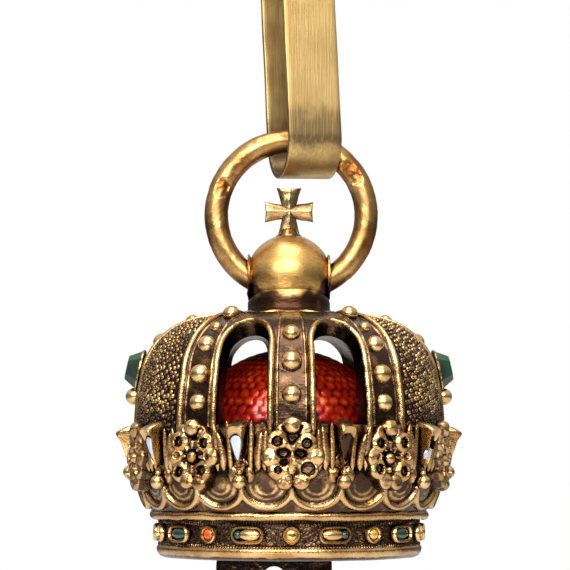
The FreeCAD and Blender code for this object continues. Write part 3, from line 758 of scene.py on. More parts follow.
@dataclass
class Orb:
    """The hollow orb with its barrel bore, side lips, dark neck and lobed foot."""

    radius: float = 3.72
    z: float = 24.07
    flat_x: float = 3.3
    neck_z: float = 20.66
    lip: tuple = ((3.34, 1.84), (3.40, 1.98), (3.50, 2.0), (3.56, 1.9), (3.58, 1.7), (3.58, 1.56), (3.5, 1.53))
    neck: tuple = ((3.32, 20.66), (3.72, 20.66), (3.86, 20.72), (3.88, 20.9), (3.78, 21.02), (3.62, 21.1),
                   (3.58, 21.5), (3.58, 22.1), (3.54, 22.4), (3.46, 22.66), (3.34, 22.9), (3.25, 22.8), (3.25, 22.3))
    foot: tuple = ((0.5, 20.1), (3.9, 20.15), (4.45, 20.2), (4.72, 20.4), (4.76, 20.62), (4.6, 20.84), (4.3, 20.96),
                   (3.95, 21.0), (3.6, 20.96), (3.4, 20.8), (0.5, 20.62))

    def gilding(self, points: np.ndarray) -> np.ndarray:
        """How much gold is left: it ends at the dark neck, and higher up at the sides than in front."""
        height = points[..., 2] + 0.4 * unevenness(points, 1.5, 25)
        return smoothstep(21.7, 23.1, height - 0.9 * (np.abs(points[..., 0]) / 3.5) ** 2)

    def ball(self) -> Surface:
        """Orb, lips and bore as one closed outline of x and radius, carried round the bore's axis.

        Returns:
            The closed orb.
        """
        cut = math.acos(self.flat_x / self.radius)
        t, lip = np.linspace(cut, math.pi - cut, 61), np.array(self.lip)
        ball = self.radius * np.stack([np.cos(t), np.sin(t)], 1)
        bore_x = np.linspace(-self.flat_x, self.flat_x, 41)
        bore = np.stack([bore_x, 2.36 - 0.84 * (bore_x / 3.62) ** 2], 1)
        x, r = np.concatenate([ball, lip * [-1, 1], bore, lip[::-1]]).T[..., None]
        b = circle(104)
        points = stacked(x, r * np.sin(b), self.z + r * np.cos(b))
        on_lip = (np.abs(x) > 3.32) & (r > 1.6)
        rubbed, uneven = 0.03, 0.04
        points[..., 0] += on_lip * (uneven * unevenness(points, 1.2, 21) - rubbed)
        points[..., 2] += on_lip * (np.abs(x) < 3.55) * 0.06 * np.sign(np.cos(b)) * unevenness(points, 0.8, 22)
        in_bore = np.repeat([0, 1, 0], [len(ball) + len(lip), len(bore), len(lip)])[:, None]
        # Painted shade: the relief is lowered towards the orb's left and right sides, so they take the darker colour.
        sides = 0.4 * smoothstep(2.3, 3.3, np.abs(points[..., 0]) + 0.3 * unevenness(points, 1.1, 26))
        return grid_solid(points, (0.1 + 0.8 * self.gilding(points) - sides) * (1 - 0.8 * in_bore), wrap_rows=True)

    def collar(self) -> Surface:
        """The dark neck: its outline carried round Z, lower towards the bore's ends with the power 4.

        Returns:
            The closed neck.
        """
        line = Meridian(np.array(self.neck))
        along = np.linspace(0, line.length[-1], 44)
        fine = np.stack([np.interp(along, line.length, part) for part in line.outline.T], 1)
        made = revolved(fine, 140, 0.35, closed=True)
        points = made.points
        points[:, 0:2] *= 1 + 0.006 * unevenness(points, 1.4, 23)[:, None]
        to_bore = np.abs(points[:, 0]) / np.hypot(points[:, 0], points[:, 1])
        points[:, 2] = self.neck_z + (points[:, 2] - self.neck_z) * (1 - 0.27 * to_bore ** 4)
        made.relief = 0.1 + 0.8 * self.gilding(points) + 0.1 * unevenness(points, 1.5, 24)
        return made

    def plate(self) -> Surface:
        """The lobed foot: a round plate whose rim goes in and out and droops ten times round.

        Returns:
            The closed plate.
        """
        r, z = np.array(self.foot).T[..., None]
        a = circle(240)
        lobes = 1 + 0.045 * np.cos(10 * a + 0.4 * np.sin(3 * a)) * smoothstep(3.5, 4.4, r)
        droop = 0.22 * (0.5 + 0.5 * np.cos(10 * a)) * smoothstep(3.9, 4.5, r)
        return grid_solid(carried(r * lobes, a, z - droop), 0.7 * smoothstep(4.2, 4.55, r))

    def build(self, shop: Workshop) -> None:
        """Hands the orb, its neck and its foot to the workshop."""
        shop.show("orb_ball", self.ball(), "orb_gold", ("orb",))
        shop.show("orb_neck", self.collar(), "orb_gold")
        shop.show("orb_foot", self.plate())


@dataclass
class SmallCross:
    """The cross with four flared, ridged arms."""

    z: float = 29.8
    arm: float = 2.1
    waist: float = 0.56
    end: float = 1.06
    side_end: float = 0.88
    foot_end: float = 0.92
    foot: float = 1.92

    def one_arm(self, length: float, end: float, turn: int) -> Surface:
        """Sections along the arm: the half width grows with the power 1.5, and each section is a low roof.

        Args:
            length: from the cross's middle to the arm's end.
            end: half the width of its end.
            turn: degrees from upright.

        Returns:
            The closed arm.
        """
        t = np.linspace(0, 1, 14)[:, None]
        corner = np.array([(1, -0.24), (1.02, 0), (1, 0.24), (0.9, 0.33), (0.5, 0.42), (0.12, 0.53), (0, 0.55),
                           (-0.12, 0.53), (-0.5, 0.42), (-0.9, 0.33), (-1, 0.24), (-1.02, 0)])
        across, deep = np.concatenate([corner, -corner[1:-1]]).T
        width = self.waist + (end - self.waist) * t ** 1.5
        points = stacked(width * across, deep, length * t - 0.14 * t ** 3 * (1 - across ** 2))
        points += 0.02 * unevenness(points, 0.9, turn + 40)[..., None]
        points[0, :, 1] *= 0.9
        points[-1, :, 1] *= 0.92
        relief = 0.1 + 0.55 * smoothstep(0.3, 1.2, np.abs(deep) * 1.3 + 0.7 * t)
        return grid_solid(points @ spin(turn, 2, 0) + [0, 0, self.z], relief)

    def build(self, shop: Workshop) -> None:
        """Three flared arms and a flared leg that meet at the cross's middle, on a turned foot.

        Args:
            shop: takes the finished cross.
        """
        arms = [self.one_arm(self.arm, self.end, 0), self.one_arm(self.arm, self.side_end, 90),
                self.one_arm(self.arm, self.side_end, 270), self.one_arm(self.foot, self.foot_end, 180)]
        hub = bead((0, -0.2, self.z), 0.4, (0, -1, 0), 0.9)
        foot = revolved([(0.05, 28.35), (0.62, 28.3), (0.8, 28.1), (0.95, 27.85), (1.15, 27.66), (1.2, 27.5),
                         (0.05, 27.45)], 48, np.array([0.3, 0.5, 0.7, 0.5, 0.3, 0.2, 0.2])[:, None])
        shop.show("small_cross", joined(arms + [hub, foot]), "cross_gilt", ("orb_cross",), 40.0)
DOME_OUTLINE = np.concatenate([arc_through((12.5, 7.24), (12.97, 11.5), (12.55, 15.0), 60),
                               arc_through((12.55, 15.0), (11.3, 18.1), (8.4, 20.0), 60)[1:],
                               arc_through((8.4, 20.0), (6.4, 20.45), (4.2, 20.6), 40)[1:]])


@dataclass
class Dome:
    """The eight arches over the crown with four windows and four grained side fields, and their pearls.

    arch is half the azimuth between the arches beside a window, and the whole numbers are counts of points:
    upright and above for a sector's side below and above the spring, the others for the window's head and foot.
    """

    wall: float = 1.15
    arch: float = 18.0
    window_half: float = 9.3
    window_foot: float = 3.7
    spring: float = 10.2
    head: float = 2.6
    back_head: float = 0.9
    scale: float = 12.9
    rim_height: float = 0.40
    upright: int = 52
    above: int = 18
    head_points: int = 84
    foot: int = 26
    meridian: Meridian = field(default_factory=lambda: Meridian(DOME_OUTLINE))

    def height(self, to_arch: np.ndarray, along: np.ndarray, to_window: np.ndarray) -> tuple:
        """Relief over the dome and its wear.

        Args:
            to_arch: distance from the nearest arch's middle line in millimetres at full width.
            along: length along the outline.
            to_window: distance from the window's or side field's edge.

        Returns:
            Height in millimetres, a rim ridge beside the edge and a fine line inside it, and the wear.
        """
        fade = 1 - smoothstep(16.6, 18.2, along)
        rim = ridge(to_window, 0.28, 0.30, self.rim_height)
        fine = ridge(to_arch, 1.16, 0.10, 0.13)
        floor = 0.05 * smoothstep(0.5, 1.0, to_arch)
        lift = np.maximum(np.maximum(rim, fine), floor) * fade
        wear = 0.2 + 0.8 * smoothstep(0.14, 0.36, lift) + 0.3 * smoothstep(0.06, 0.12, fine)
        return lift, wear

    def hole(self) -> tuple:
        """The window's edge as azimuth from its middle and length: straight sides, a round head, a level foot.

        Returns:
            The azimuths and the lengths, up the left side and clockwise.
        """
        half, up = self.window_half, np.linspace(self.window_foot, self.spring, self.upright)
        t = np.linspace(math.pi, 0, self.head_points + 2)[1:-1]
        foot = np.linspace(half, -half, self.foot + 2)[1:-1]
        return (np.concatenate([np.full(len(up), -half), half * np.cos(t), np.full(len(up), half), foot]),
                np.concatenate([up, self.spring + self.head * np.sin(t), up[::-1],
                                np.full(self.foot, self.window_foot)]))

    def window_sector(self, middle: float) -> Surface:
        """The sector round one window: loops from the window's edge out to the sector's edge, both faces.

        Args:
            middle: azimuth of the window's middle; the two windows behind have higher heads.

        Returns:
            The sector, open where it meets its neighbours.
        """
        behind = abs(middle) > 90
        hole_a, hole_s = self.hole()
        hole_s = hole_s + behind * self.back_head * smoothstep(self.spring, self.spring + self.head, hole_s)
        n, side, foot, arch = len(hole_a), self.upright + self.above, self.foot, self.arch
        top = n - 2 * side - foot
        rise = self.rise()
        outer_a = np.concatenate([np.full(side, -arch), np.linspace(-arch, arch, top + 2)[1:-1], np.full(side, arch),
                                  np.linspace(arch, -arch, foot + 2)[1:-1]])
        outer_s = np.concatenate([rise, np.full(top, rise[-1]), rise[::-1], np.zeros(foot)])
        w = np.linspace(0, 1, 30)[:, None]
        azimuth, along = hole_a + (outer_a - hole_a) * w, hole_s + (outer_s - hole_s) * w
        flat_x, half = np.radians(azimuth) * self.scale, math.radians(self.window_half) * self.scale
        over, head = np.maximum(along - self.spring, 0.0), self.head + self.back_head * behind
        rho = np.sqrt((flat_x / half) ** 2 + (over / head) ** 2) + 1e-6
        slope = np.sqrt((flat_x / half ** 2) ** 2 + (over / head ** 2) ** 2) / rho
        lift, wear = self.height(math.radians(arch) * self.scale - np.abs(flat_x), along, (rho - 1) / slope)
        outer = self.meridian.place(azimuth + middle, along, np.maximum(lift, 0.1 * (w < 0.01)))
        low = smoothstep(4.0, 3.0, along)
        outer = outer + ((0.02 + 0.05 * low) * unevenness(outer, 1.1, 51))[..., None]
        depth = -np.linspace(0.0, 1.0, 7)[1:-1][:, None] * (self.wall - self.thinned(hole_s, behind))
        wall = self.meridian.place(hole_a + middle, hole_s, depth)
        w2 = np.linspace(0, 1, 8)[:, None]
        in_a, in_s = hole_a + (outer_a - hole_a) * w2, hole_s + (outer_s - hole_s) * w2
        inner = self.meridian.place(in_a + middle, in_s, self.thinned(in_s, behind) * (1 - w2) - self.wall)
        rows = np.concatenate([outer[::-1], wall, inner])
        solid = grid_solid(rows, np.concatenate([(wear + 0.25 * low)[::-1], np.full(wall.shape[:2], 0.12),
                                                 np.full(inner.shape[:2], 0.1)]), wrap_rows=True)
        quads = solid.faces[0]
        row, column = quads // n, quads % n
        bridging = (row.max(1) == len(rows) - 1) & (row.min(1) == 0)
        sides = (column.max(1) < side) | ((column.min(1) >= side + top) & (column.max(1) < 2 * side + top))
        solid.faces = [quads[~(bridging & sides)]]
        return solid

    def rise(self) -> np.ndarray:
        """Lengths along the outline where neighbouring sectors meet, from the foot to the top."""
        return np.concatenate([np.linspace(0, self.spring, self.upright),
                               np.linspace(self.spring, self.meridian.length[-1], self.above + 1)[1:]])

    def thinned(self, along: np.ndarray, behind: bool) -> np.ndarray:
        """How much the wall is thinned at the heads of the windows behind."""
        return 0.75 * smoothstep(9.0, 11.5, along) * behind

    def side_field(self, middle: float) -> Surface:
        """The sector between a front or back arch and a side arch: a grid over azimuth and length, both faces.

        Args:
            middle: azimuth of the sector's middle.

        Returns:
            The sector, open where it meets its neighbours.
        """
        reach = 45.0 - self.arch
        near = np.concatenate([np.linspace(0, 4.4, 9), np.linspace(4.8, 9.2, 20), np.linspace(10, reach, 11)]) - reach
        grid_a, grid_s = np.meshgrid(np.concatenate([near, -near[::-1][1:]]), self.rise())
        to_arch = np.radians(reach - np.abs(grid_a)) * self.scale
        edge = math.radians(self.arch - self.window_half) * self.scale
        lift, wear = self.height(to_arch, grid_s, edge - to_arch)
        ground = smoothstep(edge, edge + 0.3, to_arch) * (1 - smoothstep(14.5, 16.5, grid_s))
        outer = self.meridian.place(grid_a + middle, grid_s, lift + 0.05 * ground)
        outer = outer + 0.012 * unevenness(outer, 1.3, 51)[..., None]
        wear = np.where(ground > 0.1, 0.12, wear)
        inner = self.meridian.place(grid_a + middle, grid_s, -self.wall)
        rows, columns = grid_a.shape
        count = rows * columns
        front = lattice(rows, columns, False, False)
        j = np.arange(columns - 1)
        foot = np.stack([j + count, j + 1 + count, j + 1, j], 1)
        top = foot[:, ::-1] + (rows - 1) * columns
        return Surface(np.concatenate([outer.reshape(-1, 3), inner.reshape(-1, 3)]),
                       [np.concatenate([front, front[:, ::-1] + count, foot, top])],
                       np.concatenate([wear.ravel(), np.full(count, 0.1)]))

    def grains(self, middle: float, seed: int) -> Surface:
        """Small uneven rings strewn over a side field, each a low round collar with a hollow middle.

        Args:
            middle: azimuth of the field's middle.
            seed: fixes where they lie and how they differ.

        Returns:
            All the grains of the field.
        """
        rng = np.random.default_rng(seed)
        row, column = (g.ravel() for g in np.meshgrid(np.arange(30), np.arange(-13, 14), indexing="ij"))
        along = 2.2 + 0.43 * row + rng.uniform(-0.1, 0.1, row.size) + 0.12 * column % 0.43
        x = 0.49 * (column + 0.5 * (row % 2)) + rng.uniform(-0.1, 0.1, row.size)
        offset = np.degrees(x / np.interp(along, self.meridian.length, self.meridian.outline[:, 0]))
        made = []
        for o, s in zip(offset, along):
            if abs(o) >= 16.6:
                continue
            spot, above = self.meridian.place(o + middle, s, np.array([0.08, 1.08]))
            made.append(bead(spot, rng.uniform(0.2, 0.245), above - spot, rng.uniform(0.6, 0.95), 6, 8, -0.35))
            made[-1].relief *= rng.uniform(0.4, 0.8) * (0.4 + 0.6 * smoothstep(3.0, 6.5, s))
        return joined(made)

    def pearls(self) -> Surface:
        """The rows of pearls on the arches, from tables of radius, height, size and squash.

        Returns:
            All the pearls.
        """
        front = ((12.62, 13.25, 0.84, 1.05), (12.42, 15.95, 0.86, 1.02), (11.15, 18.3, 0.72, 0.85))
        flank = ((12.65, 12.7, 0.80, 0.98), (12.45, 15.04, 0.84, 1.0), (11.65, 17.5, 0.76, 0.9),
                 (10.4, 19.0, 0.5, 0.85), (8.4, 20.3, 0.7, 0.85))
        side = ((13.3, 13.7, 0.74, 1.1), (10.95, 18.35, 0.8, 1.05), (8.4, 20.2, 0.62, 0.9))
        rows = {0: front, 180: front, 36: flank, -36: flank, 144: flank, -144: flank, 90: side, -90: side}
        return joined([bead((0, -r, z), size, (0, -r, max(0.0, (z - 13.0) * 1.6)), squash, 14, 24).turned(azimuth)
                       for azimuth, table in rows.items() for r, z, size, squash in table])

    def build(self, shop: Workshop) -> None:
        """Sectors joined edge to edge, then grains, pearls and the collets round the green stones.

        Args:
            shop: takes the finished pieces.
        """
        fields = (63, -63, 117, -117)
        whole = joined([self.window_sector(a) for a in (18, -18, 162, -162)] + [self.side_field(a) for a in fields])
        _, first, index = np.unique(np.round(whole.points, 3), axis=0, return_index=True, return_inverse=True)
        shell = Surface(whole.points[first], [index.ravel()[f] for f in whole.faces], whole.relief[first])
        shop.show("dome_arches", shell, nodes=("crown_arches",), sharp=60.0)
        for k, azimuth in enumerate(fields):
            shop.show(f"side_grains_{k + 1}", self.grains(azimuth, 71 + k), "grain_gilt", sharp=80.0)
        shop.show("arch_pearls", self.pearls(), "pearl_gilt")
        c, s = math.cos(math.radians(12.0)), math.sin(math.radians(12.0))
        collet = ring_bead((0, -12.86, 15.92), [(0.9, 0, 0), (0, 1.04 * s, 1.04 * c), (0, -c, s)], 1.62, 0.17, 60)
        shop.show("stone_collets", joined([collet.turned(90), collet.turned(-90)]))
        for node in ("green_stone_left", "green_stone_right"):
            shop.dress(node, "green_stone")


@dataclass
class Cap:
    """The red enamelled cap, its cells in rows round it."""

    radius: float = 8.4
    spring: float = 11.2
    rise: float = 6.6
    shoulder: float = 5.0
    cell: float = 0.98

    def build(self, shop: Workshop) -> None:
        """A dome with two arcs as its outline; each cell is a low cushion, rows shifted by half a cell.

        Args:
            shop: takes the finished cap.
        """
        middle = self.radius - self.shoulder
        crown = (self.rise ** 2 + middle ** 2 - self.shoulder ** 2) / (2 * (self.rise - self.shoulder))
        meet = math.atan2(middle, crown - self.rise)
        t1, t2 = np.linspace(math.pi / 2, meet, 50), np.linspace(meet, 0.03, 60)[1:]
        zc = self.spring + self.rise - crown
        meridian = Meridian(np.concatenate([
            stacked(self.radius, np.linspace(0.9, 9.0, 4)),
            stacked(middle + self.shoulder * np.sin(t1), self.spring + self.shoulder * np.cos(t1)),
            stacked(crown * np.sin(t2), zc + crown * np.cos(t2))]))
        along = np.concatenate([[0.0], np.linspace(7.0, meridian.length[-1], 92)])[:, None]
        azimuth = np.linspace(0, 360, 400, endpoint=False)
        u, v = np.radians(azimuth) * self.radius / self.cell, along / (0.8 * self.cell)
        u = u + 0.20 * unevenness(stacked(u, v, 0.0), 2.6, 67)
        nearest = np.full(u.shape, 9.0)
        for shift in (-1, 0, 1):
            row = np.floor(v) + shift
            across = u + 0.5 * (row % 2)
            across = across - np.floor(across) - 0.5
            nearest = np.minimum(nearest, np.hypot(across, 0.8 * (v - row - 0.5)))
        cushion = np.sqrt(np.clip(1 - (nearest / 0.51) ** 2, 0, 1))
        points = meridian.place(azimuth, along, 0.09 * cushion - 0.12)
        z = points[..., 2]
        # Painted light: lit brightens the cells between about 10.2 and 17.4 mm high, where they take the hot colour,
        # and weakens the dark bands there.
        lit = smoothstep(10.2, 13.0, z) * smoothstep(17.4, 15.6, z)
        bands = 0.5 + 0.5 * np.cos(2 * math.pi * z / 1.55 + 1.2 * unevenness(points, 0.8, 68))
        relief = cushion * (0.34 + 0.5 * lit) - 0.34 * bands * (1 - 0.5 * lit) + 0.16 * unevenness(points, 0.5, 69)
        shop.show("red_dome", grid_solid(points, relief), "red_enamel", ("red_cap",))


@dataclass
class Rosette:
    """A cast rosette as a relief over a lobed outline, with sockets, petals and beads.

    The front one is damaged: lumps (x, z, radius, height) are left of its middle, and recesses (x, z, lean,
    length, width) between them.
    """

    z: float = 8.35
    back: float = 13.1
    deep: float = 12.2
    lumps: tuple = ((0.0, 0.95, 0.7, 0.22), (0.1, -0.35, 0.75, 0.75), (-0.1, -1.3, 0.6, 0.25))
    recesses: tuple = ((-0.62, 0.22, -0.35, 0.72, 0.4), (0.66, 0.2, 0.35, 0.66, 0.36), (-0.62, -0.5, 0.3, 0.66, 0.3),
                       (0.02, 1.25, 0.0, 0.3, 0.5))

    def reach(self, ray: np.ndarray, circles: list) -> np.ndarray:
        """How far circles reach out along rays from the middle, a little smoothed.

        Args:
            ray: a unit direction a row.
            circles: centre and radius of each.

        Returns:
            The farthest crossing for each ray, averaged with its neighbours.
        """
        far = np.zeros(len(ray))
        for centre, radius in circles:
            along, across = ray @ centre, np.abs(ray[:, 0] * centre[1] - ray[:, 1] * centre[0])
            hit = np.where(across < radius, along + np.sqrt(np.clip(radius ** 2 - across ** 2, 0, None)), 0)
            far = np.maximum(far, hit)
        return (far + np.roll(far, 1) + np.roll(far, -1)) / 3

    def build_one(self, seed: int, damaged: bool) -> Surface:
        """Distances to circles give the outline, and the highest of their ridges and domes gives the relief.

        Args:
            seed: fixes how its parts are shifted.
            damaged: True for the one in front.

        Returns:
            The closed rosette at the front.
        """
        rng = np.random.default_rng(seed)

        def near(x: float, z: float) -> np.ndarray:
            """A place shifted a little at random."""
            return np.array([x, z]) + rng.uniform(-0.14, 0.14, 2)

        sockets = [near(-1.25, 1.15), near(1.25, 1.13), near(-1.22, -1.1), near(1.2, -1.12)]
        petals = [near(-1.72, 0.02), near(1.72, 0.0)]
        top = near(0.0, 2.42)
        feet = [near(-0.62, -2.0), near(0.62, -2.0)]
        leaves = [near(-0.85, 2.05), near(0.85, 2.05)]
        sizes = ((sockets, 0.9), (petals, 0.8), ([top], 0.76), (feet, 0.7), (leaves, 0.6), ([np.zeros(2)], 1.5))
        angle = circle(156)
        ray = stacked(np.cos(angle), np.sin(angle))
        reach = self.reach(ray, [(p, size) for places, size in sizes for p in places])
        t = np.linspace(0.02, 1, 46)[:, None]
        plane = (t * reach)[..., None] * ray

        def to(point: np.ndarray) -> np.ndarray:
            """Distance of every point of the relief from a place."""
            return np.linalg.norm(plane - point, axis=-1)

        def cushion(point: np.ndarray, radius: float, height: float) -> np.ndarray:
            """A steep-sided dome round a place."""
            return height * np.clip(1 - (to(point) / radius) ** 2.4, 0, 1) ** 0.5

        rays = 0 if damaged else 0.38
        h = 0.12 + 0.34 * smoothstep(1.7, 1.1, to(np.zeros(2))) * (1 + rays * np.cos(8 * angle + 0.4))
        for p in petals:
            h = np.maximum(h, 0.22 + cushion(p, 0.84, 0.56))
            if not damaged:
                h = h - 0.3 * smoothstep(0.34, 0.14, to(p * 0.86))
        for k, p in enumerate(sockets):
            d = to(p)
            h = np.maximum(h, 0.22 + cushion(p, 0.92, 0.60))
            size = 0.92 + (0.3 if damaged and k == 3 else -0.25 if damaged and k == 2 else 0.0)
            hollow = smoothstep(0.50 * size, 0.40 * size, d)
            floor = 0.30 + ridge(d, 0.24, 0.10, 0.14) + ridge(d, 0.0, 0.12, 0.06)
            if damaged and k == 3:
                floor = 0.06 + 0.3 * d
            h = h * (1 - hollow) + floor * hollow
        for places, base, radius, height in ((feet, 0.24, 0.74, 0.52), (leaves, 0.22, 0.66, 0.42),
                                             ([top], 0.24, 0.76, 0.74)):
            for p in places:
                h = np.maximum(h, base + cushion(p, radius, height))
        h = h - 0.22 * smoothstep(0.12, 0.04, np.abs(to(top) - 0.74)) * (plane[..., 1] < top[1])
        boss = to(near(0.0, -0.1))
        if damaged:
            h = self.worn_middle(h, plane)
        else:
            well = np.maximum(h * (0.35 + 0.65 * smoothstep(0.48, 0.72, boss)), 0.2 + ridge(boss, 0.0, 0.52, 0.72))
            h = np.where(boss < 0.72, well, h)
        h = h + 0.06 * unevenness(np.pad(plane, ((0, 0), (0, 0), (0, 1))), 0.8, seed)
        h = h * (0.35 + 0.65 * smoothstep(0.0, 0.09, (1 - t) * reach))
        x, z = plane[..., 0], self.z + plane[..., 1]
        side = np.linspace(self.back - 0.05, self.deep, 4)[:, None]
        rim = stacked(x[-1], -side, z[-1])
        relief = np.concatenate([0.05 + 0.9 * smoothstep(0.3, 0.75, h), np.full(rim.shape[:2], 0.25)])
        return grid_solid(np.concatenate([stacked(x, -(self.back + h), z), rim]), relief)

    def worn_middle(self, h: np.ndarray, plane: np.ndarray) -> np.ndarray:
        """The front rosette's relief with its lumps added and its leaned oval recesses taken off.

        Args:
            h: the relief's height so far.
            plane: x and z of its points.

        Returns:
            The new height.
        """
        for x, z, radius, height in self.lumps:
            h = h + height * np.clip(1 - (np.linalg.norm(plane - [x, z], axis=-1) / radius) ** 2, 0, 1) ** 1.5
        for x, z, lean, long, wide in self.recesses:
            east, north, c, s = plane[..., 0] - x, plane[..., 1] - z, math.cos(lean), math.sin(lean)
            h = h - 0.42 * smoothstep(1.3, 0.1, np.hypot((east * c + north * s) / long, (north * c - east * s) / wide))
        return np.maximum(h, 0.16)

    def build(self, shop: Workshop) -> None:
        """Ten rosettes, each with its own small unevenness."""
        for k in range(10):
            name = f"rosette_{k + 1:02d}"
            shop.show("cast_" + name, self.build_one(100 + k, k == 0).turned(36 * k), nodes=(name,), sharp=70.0)


@dataclass
class Cresting:
    """The flared wall with twenty scallops, and the ten drop settings with their balls.

    The leaves beside each setting are given by lean, x, width and height.
    """

    middle: float = 2.34
    scallop: float = 1.80
    columns: int = 44
    leaves: tuple = ((-0.2, -0.84, 0.26, 3.7), (0.2, 0.84, 0.26, 3.65), (-0.4, -1.42, 0.36, 3.3),
                     (0.42, 1.46, 0.36, 3.15), (-0.2, -1.95, 0.34, 3.5), (0.25, 2.0, 0.32, 3.2))

    def wall(self) -> Surface:
        """Relief over the flared wall: distance from each scallop's middle gives its rim, bowl and inner arc.

        Returns:
            The closed wall.
        """
        meridian = Meridian(np.concatenate([[(11.75, 3.92)], arc_through((11.85, 4.16), (12.58, 5.6), (12.9, 7.2), 40),
                                            [(12.95, 8.4)]]))
        along = np.linspace(0, meridian.length[-1], 58)[:, None]
        count = 20 * self.columns
        azimuth = np.arange(count) * 360.0 / count
        x, s = np.radians(azimuth % 18.0 - 9.0) * 12.85, along - self.middle
        narrow = 0.86 * x
        d = np.where(s < 0, np.hypot(narrow, s), np.abs(narrow))
        rim = ridge(d, self.scallop, 0.30, 0.44) * smoothstep(0.5, -0.2, s)
        bowl = -0.48 * np.clip(1 - (d / 1.55) ** 2, 0, 1)
        arc = (ridge(d, 1.16, 0.13, 0.16) + ridge(d, 0.72, 0.13, 0.14)) * smoothstep(0.35, -0.1, s)
        tongue = ridge(np.hypot(x * 1.4, s + 0.1), 0.0, 0.45, 0.2)
        curl = ridge(np.hypot(np.abs(x) - 1.35, (s - 0.9) * 0.7), 0.0, 0.5, 0.3)
        points = meridian.place(azimuth, along, np.maximum(np.maximum(rim, curl), bowl + arc + tongue))
        rough = (0.02 + 0.09 * smoothstep(0.9, 1.8, s)) / 13.0
        points = points * (1 + (rough * unevenness(points, 0.7, 61))[..., None] * [1, 1, 0])
        wear = np.clip(0.2 + 0.82 * smoothstep(0.1, 0.3, rim) + 0.3 * smoothstep(0.03, 0.14, arc) +
                       0.45 * smoothstep(0.05, 0.28, curl), 0, 1) * (1 + 1.4 * smoothstep(0.9, 2.0, s))
        r, z = np.array([(12.2, 8.4), (12.0, 7.2), (11.6, 5.6), (11.2, 3.95)]).T[..., None]
        back = carried(r, np.radians(azimuth), z)
        for rows in (points, back):
            torn = unevenness(rows * [1, 1, 0], 0.8, 62) + 0.6 * unevenness(rows * [1, 1, 0], 0.35, 64)
            rows[..., 2] += 0.5 * torn * smoothstep(7.5, 8.4, rows[..., 2])
        return grid_solid(np.concatenate([points, back]), np.concatenate([wear, np.full(back.shape[:2], 0.1)]),
                          wrap_rows=True)

    def outline(self, top: float, bottom: float, half: float) -> np.ndarray:
        """A drop by its height: a half circle above, and sides that close to the point with the power 0.6.

        Args:
            top: height of its top.
            bottom: height of its point.
            half: half its width.

        Returns:
            A row of x and height for each of its 56 points.
        """
        t, s = (np.linspace(0, end, 28, endpoint=False) for end in (math.pi, 1))
        shoulder = top - half
        down = shoulder - (shoulder - bottom) * (1 - np.abs(2 * s - 1))
        width = half * ((down - bottom) / (shoulder - bottom)) ** 0.6
        return np.concatenate([stacked(half * np.cos(t), shoulder + half * np.sin(t)),
                               stacked(np.where(s < 0.5, -width, width), down)])

    def slope(self, z: np.ndarray) -> np.ndarray:
        """Distance of the setting's face from the axis: straight from its foot to the hood, then back."""
        foot, hood, foot_z, hood_z = 13.75, 14.58, 7.9, 10.5
        face = foot + (hood - foot) * (z - foot_z) / (hood_z - foot_z)
        return np.where(z > hood_z, hood - 1.6 * (z - hood_z) ** 2 - 0.35 * (z - hood_z), face)

    def setting(self, seed: int) -> Surface:
        """Loops of the drop outline: back, face edge, rim, inner edge and recess, closed at the middle.

        Args:
            seed: fixes its unevenness.

        Returns:
            The closed setting at the front.
        """
        big, small = self.outline(11.35, 7.7, 0.66), self.outline(10.05, 7.95, 0.48)
        rng = np.random.default_rng(seed)
        share, lift, wear = np.array([(0.0, 0.0, 0.3), (0.0, -0.14, 0.65), (0.03, -0.04, 0.9), (0.2, 0.06, 1.0),
                                      (0.5, 0.10, 1.0), (0.8, 0.05, 1.0), (0.97, -0.04, 0.6), (1.0, -0.24, 0.0)]
                                     ).T[..., None]
        loops = big + (small - big) * share[..., None]
        z = loops[..., 1]
        y = self.slope(z) + lift + 0.24 * smoothstep(9.8, 10.5, z) * np.sin(math.pi * share)
        y[0] = 12.4
        points = stacked(loops[..., 0], -y, z)
        points += 0.02 * unevenness(points + rng.uniform(0, 9), 0.7, seed)[..., None]
        return grid_solid(points, wear)

    def leaf(self, lean: float, x: float, wide: float, tall: float) -> Surface:
        """A pointed leaf that stands against the dome: its width is a sine of its height, and it curls outwards.

        Args:
            lean: how far its tip is to the right of its foot.
            x: where its foot stands.
            wide: half its greatest width.
            tall: its height.

        Returns:
            The closed leaf at the front.
        """
        t, b = np.linspace(0, 1, 11)[:, None], circle(10)
        w = 0.05 + wide * np.clip(np.sin(math.pi * t ** 0.85), 0, 1) ** 0.55
        points = stacked(x + lean * t ** 2 + w * np.cos(b), -(13.0 + 0.5 * t ** 2 + w * np.sin(b)), 7.2 + tall * t)
        return grid_solid(points, 0.3 + 0.5 * smoothstep(0.2, 1.0, np.sin(b)))

    def enamel(self, low: float, high: float) -> Surface:
        """A thin cushion of enamel between two heights of the recess.

        Args:
            low: height of its point.
            high: height of its top.

        Returns:
            The closed cushion at the front.
        """
        outline, middle = self.outline(high, low, 0.465), np.array([0.0, (low + high) / 2])
        share, lift = np.array([(1.0, -0.22), (1.0, -0.03), (0.92, 0.03), (0.7, 0.06), (0.35, 0.08), (0.05, 0.08)]
                               ).T[..., None]
        loops = middle + (outline - middle) * share[..., None]
        return grid_solid(stacked(loops[..., 0], -(self.slope(loops[..., 1]) + lift), loops[..., 1]), 0.8)

